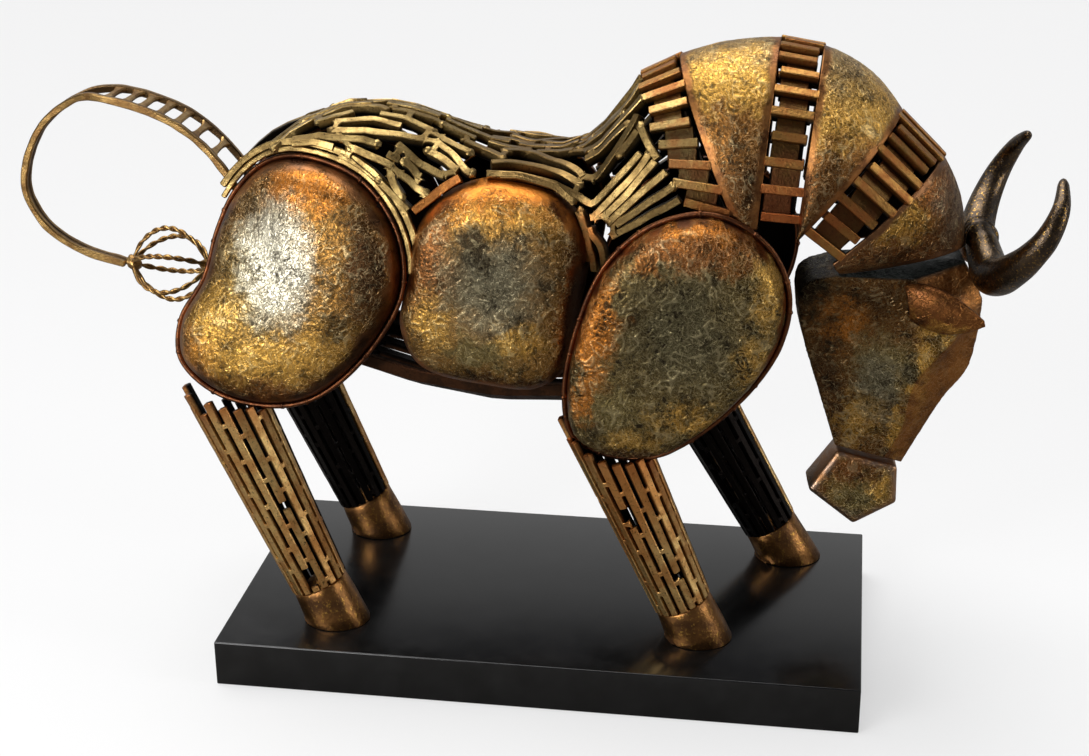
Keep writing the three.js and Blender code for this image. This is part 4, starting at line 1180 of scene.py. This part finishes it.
def plate_material(name, looks):
    """Wrinkled gilded sheet metal: looks gives its colours and the patches laid over them."""
    material, tree, shader = new_material(name)
    place = node(tree, "TexCoord").outputs["Object"]
    spot, ragged = ragged_place(tree, place)
    fine = grouped(tree, FOIL, {"Fold Size": looks.get("fine", 0.003)})
    panel, back, relief_height = value_of(tree, "panel"), value_of(tree, "back"), value_of(tree, "relief")
    base = patched(tree, spot, looks["body"], looks["patches"])
    cloud = ranged(tree, ragged, 0.36, 0.62)
    base = mixed(tree, ranged(tree, ragged, 0.5, 0.34, 0.0, 0.7), base, looks["crease"])
    hollow = maths(tree, "MAXIMUM", maths(tree, "MULTIPLY", fine["Hollow"], 0.75),
        ranged(tree, relief_height, 0.4, 0.2))
    panel_tone = mixed(tree, maths(tree, "MULTIPLY", hollow, looks.get("pooled", 0.75)), base,
        looks["crease"])
    ridge = maths(tree, "MAXIMUM", maths(tree, "MULTIPLY", fine["Ridge"], 0.6),
        ranged(tree, relief_height, 0.6, 0.95, 0.0, 0.6))
    lit = mixed(tree, 0.8, base, looks["gleam"], "SCREEN")
    panel_tone = mixed(tree, maths(tree, "MULTIPLY", ridge, looks.get("gleaming", 0.35)), panel_tone, lit)
    edge_tone = mixed(tree, cloud, looks["border"], looks["border_cloud"])
    edge_tone = patched(tree, spot, edge_tone, looks.get("edge_patches", ()))
    tone = mixed(tree, panel, edge_tone, panel_tone)
    tone = mixed(tree, value_of(tree, "top"), tone, SLATE)
    tone = mixed(tree, back, tone, colour(0.012, 0.008, 0.006))
    tree.links.new(tone, shader.inputs["Base Color"])
    rough = maths(tree, "MULTIPLY_ADD", cloud, 0.1)
    rough.node.inputs[2].default_value = looks.get("rough", 0.27)
    rough = maths(tree, "ADD", rough, maths(tree, "MULTIPLY", hollow, 0.16))
    tree.links.new(maths(tree, "MAXIMUM", rough, maths(tree, "MULTIPLY", back, 0.8)),
        shader.inputs["Roughness"])
    folds = maths(tree, "MULTIPLY", fine["Height"], ranged(tree, panel, 0, 1, 0.1, 1))
    bump = node(tree, "Bump", None, {"Height": folds, "Distance": looks.get("bump", 0.0005),
        "Strength": 1.0})
    tree.links.new(bump.outputs[0], shader.inputs["Normal"])
    return material


def bar_material(name, looks):
    """Bar and wire metal: bright where worn on its outer faces, dark on the inner ones."""
    material, tree, shader = new_material(name)
    pits = grouped(tree, PITTING, {"Size": looks.get("size", 0.004)})
    spot = ragged_place(tree, node(tree, "TexCoord").outputs["Object"])[0]
    outer = value_of(tree, "outer")
    tone = patched(tree, spot, looks["tone"], looks.get("patches", ()))
    tone = mixed(tree, pits["Cloud"], tone, mixed(tree, 0.8, tone, looks["cloud"]))
    tone = mixed(tree, maths(tree, "MULTIPLY", pits["Speck"], looks.get("specks", 0.5)), tone,
        looks["speck"])
    heat = maths(tree, "MULTIPLY", value_of(tree, "hot"), ranged(tree, pits["Cloud"], 0, 1, 0.9, 0.5))
    tone = mixed(tree, heat, tone, looks.get("hot", COPPER))
    tone = mixed(tree, ranged(tree, outer, 0.1, looks.get("dark_to", 0.8)), looks["inner"], tone)
    tree.links.new(tone, shader.inputs["Base Color"])
    rough = maths(tree, "MULTIPLY_ADD", pits["Cloud"], 0.14)
    rough.node.inputs[2].default_value = looks.get("rough", 0.3)
    tree.links.new(rough, shader.inputs["Roughness"])
    bump = node(tree, "Bump", None, {"Height": pits["Height"], "Distance": looks.get("bump", 0.0004),
        "Strength": 0.8})
    tree.links.new(bump.outputs[0], shader.inputs["Normal"])
    return material


def lacquer_material():
    """Black satin lacquer with faint dust."""
    material, tree, shader = new_material("black_lacquer", metallic=0.0)
    place = node(tree, "TexCoord").outputs["Object"]
    dust = node(tree, "TexNoise", None, {"Vector": place, "Scale": 40.0, "Detail": 5.0, "Roughness": 0.7})
    tone = mixed(tree, ranged(tree, dust.outputs["Fac"], 0.35, 0.75), colour(0.004, 0.004, 0.004),
        colour(0.009, 0.009, 0.009))
    tree.links.new(tone, shader.inputs["Base Color"])
    tree.links.new(ranged(tree, dust.outputs["Fac"], 0.2, 0.8, 0.16, 0.24), shader.inputs["Roughness"])
    fine = node(tree, "TexNoise", None, {"Vector": place, "Scale": 900.0, "Detail": 2.0})
    bump = node(tree, "Bump", None, {"Height": fine.outputs["Fac"], "Distance": 0.00003, "Strength": 0.6})
    tree.links.new(bump.outputs[0], shader.inputs["Normal"])
    return material


GOLD = colour(0.82, 0.46, 0.09)
PALE_GOLD = colour(1.0, 0.82, 0.44)
ORANGE = colour(0.72, 0.25, 0.035)
COPPER = colour(0.42, 0.13, 0.035)
RUST = colour(0.3, 0.11, 0.03)
BROWN = colour(0.1, 0.045, 0.016)
DARK = colour(0.012, 0.008, 0.006)
OLIVE = colour(0.26, 0.2, 0.075)
GREY_GREEN = colour(0.24, 0.21, 0.13)
# Pale silver patina with the key light's glare painted in: partly patina, partly painted highlight
PALE_SILVER_AND_GLARE = colour(0.95, 0.88, 0.68)
SLATE = colour(0.025, 0.03, 0.027)

HAUNCH_LOOKS = {
    "body": colour(0.34, 0.17, 0.04), "border": colour(0.12, 0.06, 0.03),
        "border_cloud": colour(0.28, 0.12, 0.045),
    "crease": DARK, "gleam": PALE_GOLD, "fine": 0.0032,
    "patches": [
        ((-140, 318), (56, 24), ORANGE, 0.9), ((-182, 285), (26, 26), RUST, 0.8),
        # The silver patch in the haunch's middle is partly pale patina and partly a painted highlight
        ((-166, 262), (46, 60), OLIVE, 0.9), ((-157, 268), (34, 48), PALE_SILVER_AND_GLARE, 0.95),
        ((-196, 232), (26, 36), GOLD, 0.7), ((-208, 206), (24, 24), ORANGE, 0.8),
        ((-166, 210), (62, 20), GOLD, 0.9), ((-124, 222), (26, 22), GOLD, 0.5),
        ((-100, 268), (22, 66), BROWN, 1.0), ((-119, 234), (14, 14), DARK, 0.8),
        ((-150, 190), (60, 10), RUST, 0.7),
    ],
    "edge_patches": [((-92, 265), (26, 70), BROWN, 0.8),
        ((-215, 225), (30, 40), colour(0.42, 0.22, 0.09), 0.7)],
}
BELLY_LOOKS = {
    "body": colour(0.36, 0.19, 0.05), "border": colour(0.14, 0.05, 0.018),
        "border_cloud": colour(0.42, 0.15, 0.03),
    "crease": DARK, "gleam": PALE_GOLD, "fine": 0.0027,
    "patches": [
        ((-22, 312), (70, 22), ORANGE, 1.0), ((-20, 300), (46, 14), GOLD, 0.6),
        ((-66, 280), (24, 50), RUST, 0.9),
        # The grey-green in the belly's middle is partly patina and partly a painted highlight
        ((-26, 262), (44, 44), GREY_GREEN, 1.0), ((-36, 285), (12, 20), DARK, 0.8),
        ((-34, 220), (34, 16), OLIVE, 0.9), ((-10, 230), (20, 14), GOLD, 0.8),
        ((-62, 236), (16, 24), GOLD, 0.6),
        ((24, 262), (18, 60), BROWN, 0.95), ((-22, 198), (70, 12), BROWN, 0.95),
    ],
    "edge_patches": [((24, 250), (22, 60), BROWN, 0.9), ((-20, 318), (60, 14), ORANGE, 0.8)],
}
SHOULDER_LOOKS = {
    "body": colour(0.2, 0.14, 0.05), "border": colour(0.1, 0.035, 0.014),
        "border_cloud": colour(0.36, 0.11, 0.025),
    "crease": DARK, "gleam": PALE_GOLD, "fine": 0.0026, "pooled": 0.9,
    "patches": [
        # The orange along the shoulder's top and left edge is partly patina and partly painted highlight
        ((78, 300), (80, 26), ORANGE, 0.95), ((90, 290), (60, 14), RUST, 0.9),
        ((34, 246), (20, 62), ORANGE, 0.95),
        ((88, 244), (48, 52), colour(0.13, 0.11, 0.055), 1.0), ((138, 270), (16, 36), GOLD, 0.7),
        ((92, 190), (32, 14), GOLD, 0.75), ((60, 174), (26, 14), GOLD, 0.6),
        ((130, 226), (16, 20), GOLD, 0.6),
        ((50, 196), (22, 24), OLIVE, 0.8), ((28, 200), (10, 20), ORANGE, 0.8),
        ((66, 162), (40, 8), BROWN, 0.9),
    ],
    "edge_patches": [((80, 308), (80, 20), colour(0.05, 0.035, 0.03), 0.7)],
}
HUMP_LOOKS = {
    "body": colour(0.3, 0.13, 0.03), "border": colour(0.12, 0.05, 0.02),
        "border_cloud": colour(0.3, 0.13, 0.04),
    "crease": DARK, "gleam": PALE_GOLD, "fine": 0.0028,
    "patches": [
        # The pale gold along the hump's top is partly painted light from above, and the dark brown low on
        # its sides is partly painted shade
        ((108, 396), (90, 16), colour(0.5, 0.32, 0.12), 0.9), ((106, 378), (70, 20), GOLD, 0.95),
        ((185, 380), (50, 40), colour(0.5, 0.34, 0.14), 0.8), ((180, 362), (50, 22), GOLD, 0.8),
        ((122, 320), (60, 34), colour(0.16, 0.065, 0.018), 0.95),
        ((165, 316), (40, 32), colour(0.16, 0.065, 0.018), 0.95),
    ],
}
NAPE_LOOKS = {
    "body": colour(0.26, 0.1, 0.025), "border": colour(0.14, 0.07, 0.035),
        "border_cloud": colour(0.26, 0.12, 0.05),
    "crease": DARK, "gleam": PALE_GOLD, "fine": 0.0034,
    "patches": [((206, 302), (24, 22), GOLD, 0.75), ((226, 325), (16, 30), RUST, 0.6),
        ((240, 300), (16, 40), colour(0.16, 0.1, 0.06), 0.9)],
    "edge_patches": [((240, 310), (18, 50), colour(0.2, 0.13, 0.08), 0.8)],
}
HEAD_LOOKS = {
    "body": colour(0.2, 0.09, 0.025), "border": colour(0.2, 0.075, 0.025),
        "border_cloud": colour(0.42, 0.17, 0.045),
    "crease": DARK, "gleam": PALE_GOLD, "fine": 0.003, "pooled": 0.85, "rough": 0.3,
    "patches": [
        # The dark patch at the upper back corner of the head's side is painted shade under the nape
        ((158, 256), (22, 26), DARK, 0.95), ((178, 230), (20, 22), ORANGE, 0.75),
        ((196, 250), (30, 14), BROWN, 0.7),
        ((204, 204), (26, 30), OLIVE, 0.9), ((200, 190), (18, 34), GREY_GREEN, 0.9),
        ((190, 168), (18, 24), GOLD, 0.55),
        ((236, 232), (16, 14), GOLD, 1.0), ((226, 200), (8, 40), GOLD, 0.8),
        ((212, 160), (8, 30), GOLD, 0.7),
        ((168, 190), (12, 60), BROWN, 0.9),
    ],
}
MUZZLE_LOOKS = {
    "body": colour(0.32, 0.2, 0.06), "border": colour(0.3, 0.24, 0.2),
        "border_cloud": colour(0.36, 0.18, 0.08),
    "crease": DARK, "gleam": PALE_GOLD,
    "patches": [((186, 134), (30, 12), RUST, 0.95), ((192, 114), (16, 14), OLIVE, 0.9),
        ((208, 122), (10, 12), GOLD, 0.9),
        ((190, 100), (24, 8), colour(0.12, 0.1, 0.06), 0.8), ((166, 118), (10, 12), RUST, 0.8)],
}
EAR_LOOKS = {
    "body": colour(0.16, 0.06, 0.02), "border": colour(0.14, 0.055, 0.022),
        "border_cloud": colour(0.3, 0.11, 0.03),
    "crease": DARK, "gleam": GOLD, "gleaming": 0.25,
    "patches": [((236, 236), (26, 7), GOLD, 0.7), ((214, 250), (14, 16), colour(0.04, 0.02, 0.012), 0.8)],
}

LATTICE_LOOKS = {"tone": colour(0.46, 0.32, 0.12), "cloud": colour(0.16, 0.1, 0.035), "speck": DARK,
    "inner": colour(0.01, 0.008, 0.006), "specks": 0.7,
    "patches": [((0, 330), (64, 40), colour(0.22, 0.13, 0.045), 0.9),
        ((50, 320), (50, 60), colour(0.24, 0.16, 0.06), 0.7),
        ((26, 285), (26, 26), colour(0.4, 0.13, 0.03), 0.9)]}
BAND_LOOKS = {"tone": colour(0.42, 0.22, 0.06), "cloud": colour(0.3, 0.1, 0.03), "speck": DARK,
    "inner": colour(0.012, 0.009, 0.007), "specks": 0.5,
    "patches": [((70, 345), (40, 40), colour(0.5, 0.36, 0.14), 0.8),
        ((140, 310), (60, 26), colour(0.3, 0.07, 0.02), 0.9)]}
LEG_LOOKS = {"tone": colour(0.78, 0.52, 0.2), "cloud": colour(0.42, 0.18, 0.05), "speck": DARK,
    "inner": colour(0.01, 0.008, 0.007), "specks": 0.75, "rough": 0.34,
    "patches": [((-130, 110), (26, 90), colour(0.5, 0.2, 0.05), 0.7),
        ((60, 130), (30, 60), colour(0.6, 0.24, 0.06), 0.8)]}
UNDERSIDE_LOOKS = {"tone": colour(0.09, 0.04, 0.02), "cloud": colour(0.03, 0.018, 0.012), "speck": DARK,
    "inner": colour(0.01, 0.008, 0.007)}
RIM_LOOKS = {"tone": colour(0.16, 0.06, 0.025), "cloud": colour(0.05, 0.022, 0.014), "speck": COPPER,
    "inner": colour(0.06, 0.03, 0.016), "specks": 0.4}
HOOF_LOOKS = {"tone": colour(0.3, 0.14, 0.045), "cloud": colour(0.07, 0.035, 0.02), "speck": GOLD,
    "inner": colour(0.1, 0.04, 0.02), "specks": 0.5, "size": 0.006}
HORN_LOOKS = {"tone": colour(0.1, 0.07, 0.045), "cloud": colour(0.035, 0.028, 0.024), "speck": GOLD,
    "inner": colour(0.03, 0.02, 0.015), "specks": 0.5, "rough": 0.2}
TAIL_LOOKS = {"tone": colour(0.5, 0.31, 0.11), "cloud": colour(0.2, 0.1, 0.035), "speck": DARK,
    "inner": colour(0.12, 0.07, 0.03), "specks": 0.5}
RED_LOOKS = {"tone": colour(0.5, 0.2, 0.05), "cloud": colour(0.25, 0.09, 0.025), "speck": DARK,
    "inner": colour(0.03, 0.015, 0.01), "specks": 0.4}


# Putting the pieces in place

def put(piece, material, slot, *nodes, crisp=False):
    """Dresses a piece, and has it ride on the body and stand for its CAD nodes."""
    piece.data.materials.append(material)
    piece.data.shade_smooth()
    if crisp:
        piece.data.set_sharp_from_angle(angle=math.radians(34))
    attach(piece, "root")
    if nodes:
        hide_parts(*nodes)
    return piece


def dress():
    haunch, belly = plate_material("haunch_patina", HAUNCH_LOOKS), plate_material("belly_patina",
        BELLY_LOOKS)
    shoulder = plate_material("shoulder_patina", SHOULDER_LOOKS)
    hump, nape = plate_material("hump_patina", HUMP_LOOKS), plate_material("nape_patina", NAPE_LOOKS)
    head_metal, muzzle_metal = plate_material("head_patina", HEAD_LOOKS), plate_material("muzzle_patina",
        MUZZLE_LOOKS)
    ear_metal = plate_material("ear_copper", EAR_LOOKS)
    lattice, band = bar_material("lattice_bars", LATTICE_LOOKS), bar_material("band_bars", BAND_LOOKS)
    leg_metal, underside = bar_material("leg_bars", LEG_LOOKS), bar_material("underside_bars",
        UNDERSIDE_LOOKS)
    rim, hoof_metal = bar_material("rim_copper", RIM_LOOKS), bar_material("hoof_copper", HOOF_LOOKS)
    horn_metal, tail_metal = bar_material("horn_dark_metal", HORN_LOOKS), bar_material("tail_bars",
        TAIL_LOOKS)
    red = bar_material("red_copper_bar", RED_LOOKS)
    put(plinth(), lacquer_material(), "plinth_lacquer", "plinth")
    for word, side in SIDES.items():
        put(body_plate(f"haunch_sheet_{word}", HAUNCH, side), haunch, "plate_patina",
            f"haunch_plate_{word}")
        put(body_plate(f"belly_sheet_{word}", BELLY, side), belly, "plate_patina", f"belly_plate_{word}")
        put(body_plate(f"shoulder_sheet_{word}", SHOULDER, side), shoulder, "plate_patina",
            f"shoulder_plate_{word}")
        put(plate_rim(f"haunch_wire_{word}", HAUNCH, side), rim, "copper_patina", f"haunch_rim_{word}")
        put(plate_rim(f"shoulder_wire_{word}", SHOULDER, side), rim, "copper_patina",
            f"shoulder_rim_{word}")
        put(ear(f"ear_leaf_{word}", side), ear_metal, "copper_patina", f"ear_{word}")
        put(horn(f"horn_curve_{word}", side), horn_metal, "horn_patina", f"horn_{word}")
    for name, leg in LEGS.items():
        put(leg_bars(name, leg), leg_metal, "bar_patina", name, crisp=True)
        put(hoof(name, leg), hoof_metal, "copper_patina", name.replace("leg", "hoof"))
    put(back_lattice(), lattice, "bar_patina", "back_lattice", crisp=True)
    put(red_bar(), red, "bar_patina", crisp=True)
    put(underside_lattice(), underside, "bar_patina", "underside_lattice", crisp=True)
    bands = (("rear", "lattice_end", "band_one_end"), ("middle", "band_two_start", "band_two_end"),
        ("front", "band_three_start", "band_three_end"))
    for number, (word, start, end) in enumerate(bands):
        put(hump_band(f"hump_cross_bars_{word}", start, end, number * 11), band, "copper_patina",
            f"hump_band_{word}", crisp=True)
    put(hump_plate("hump_sheet_rear", "band_one_end", "band_two_start", 3, 78, 4.0, 0.5, 6), hump,
        "plate_patina", "hump_plate_rear")
    put(hump_plate("hump_sheet_front", "band_two_end", "band_three_start", 6, 78, 4.0, 0.5, 6), hump,
        "plate_patina", "hump_plate_front")
    put(hump_plate("nape_sheet", "band_three_end", "poll", 5, 72, 4.2, 0.4, 5), nape, "plate_patina",
        "nape_plate")
    put(head(), head_metal, "plate_patina", "head")
    put(muzzle(), muzzle_metal, "plate_patina", "muzzle")
    put(horn_collar(), horn_metal, "horn_patina", "horn_collar")
    put(tail(), tail_metal, "bar_patina", "tail", crisp=True)
    put(tassel(), tail_metal, "bar_patina", "tail_tassel")


# Studio

def studio():
    """A pale floor, and soft light from above and from both sides."""
    size = 6
    mesh = bpy.data.meshes.new("floor")
    mesh.from_pydata([(-size, -size, 0), (size, -size, 0), (size, size, 0), (-size, size, 0)], [],
        [(0, 1, 2, 3)])
    floor = bpy.data.objects.new("floor", mesh)
    bpy.context.scene.collection.objects.link(floor)
    pale = bpy.data.materials.new("pale_floor")
    pale.use_nodes = True
    tree = pale.node_tree
    path, shader = node(tree, "LightPath").outputs, tree.nodes["Principled BSDF"]
    tree.links.new(mixed(tree, path["Is Glossy Ray"], colour(0.3, 0.3, 0.3), colour(0.2, 0.19, 0.18)),
        shader.inputs["Base Color"])
    shader.inputs["Roughness"].default_value = 0.9
    shader.inputs["Specular IOR Level"].default_value = 0
    shader.inputs["Emission Color"].default_value = colour(1, 1, 1)
    tree.links.new(maths(tree, "MULTIPLY", path["Is Camera Ray"], 0.56), shader.inputs["Emission Strength"])
    floor.data.materials.append(pale)
    world = bpy.data.worlds.new("room")
    world.use_nodes = True
    tree = world.node_tree
    directions = node(tree, "TexCoord").outputs["Generated"]
    way = node(tree, "SeparateXYZ", None, {0: directions}).outputs
    behind = maths(tree, "MULTIPLY", ranged(tree, way["Y"], 0.35, 0.75), ranged(tree, way["Z"], 0.7, 0.5))
    unseen = mixed(tree, behind, colour(0.09, 0.09, 0.1), colour(0.5, 0.5, 0.5))
    seen = node(tree, "LightPath").outputs["Is Camera Ray"]
    tree.links.new(mixed(tree, seen, unseen, colour(0.9, 0.9, 0.895)),
        tree.nodes["Background"].inputs["Color"])
    bpy.context.scene.world = world
    sky = bpy.data.lights.new("overhead_soft_light", "SUN")
    sky.energy = 3.1
    sky.angle = math.radians(50)
    lamp = bpy.data.objects.new("overhead_soft_light", sky)
    lamp.rotation_euler = (math.radians(-12), math.radians(-14), 0)
    bpy.context.scene.collection.objects.link(lamp)
    boxes = (("left_softbox", (-1.15, -1.6, 0.8), (1.2, 1.0), 34),
        ("right_softbox", (1.7, -0.3, 0.7), (0.4, 1.0), 8))
    for name, place, shape, power in boxes:
        light = bpy.data.lights.new(name, "AREA")
        light.shape = "RECTANGLE"
        light.size, light.size_y = shape
        light.energy = power
        box = bpy.data.objects.new(name, light)
        box.location = place
        aim = Vector((0, 0, 0.25)) - Vector(place)
        box.rotation_euler = aim.to_track_quat("-Z", "Y").to_euler()
        bpy.context.scene.collection.objects.link(box)
    bpy.context.scene.view_settings.view_transform = "Standard"


def camera():
    azimuth, elevation, roll = (math.radians(CAMERA[key]) for key in ("azimuth", "elevation", "roll"))
    ahead = Vector((-math.sin(azimuth) * math.cos(elevation), math.cos(azimuth) * math.cos(elevation),
        -math.sin(elevation)))
    level = Vector((math.cos(azimuth), math.sin(azimuth), 0))
    above = level.cross(ahead)
    right = level * math.cos(roll) + above * math.sin(roll)
    up = above * math.cos(roll) - level * math.sin(roll)
    lens = bpy.data.cameras.new("photo_camera")
    lens.sensor_width = 36
    lens.lens = lens.sensor_width * CAMERA["focal"] / PHOTO_WIDTH
    eye = bpy.data.objects.new("photo_camera", lens)
    turn = Matrix((right, up, -ahead)).transposed().to_4x4()
    eye.matrix_world = Matrix.Translation(Vector(CAMERA["place"]) * MM) @ turn
    bpy.context.scene.collection.objects.link(eye)
    bpy.context.scene.camera = eye


camera()
studio()
dress()
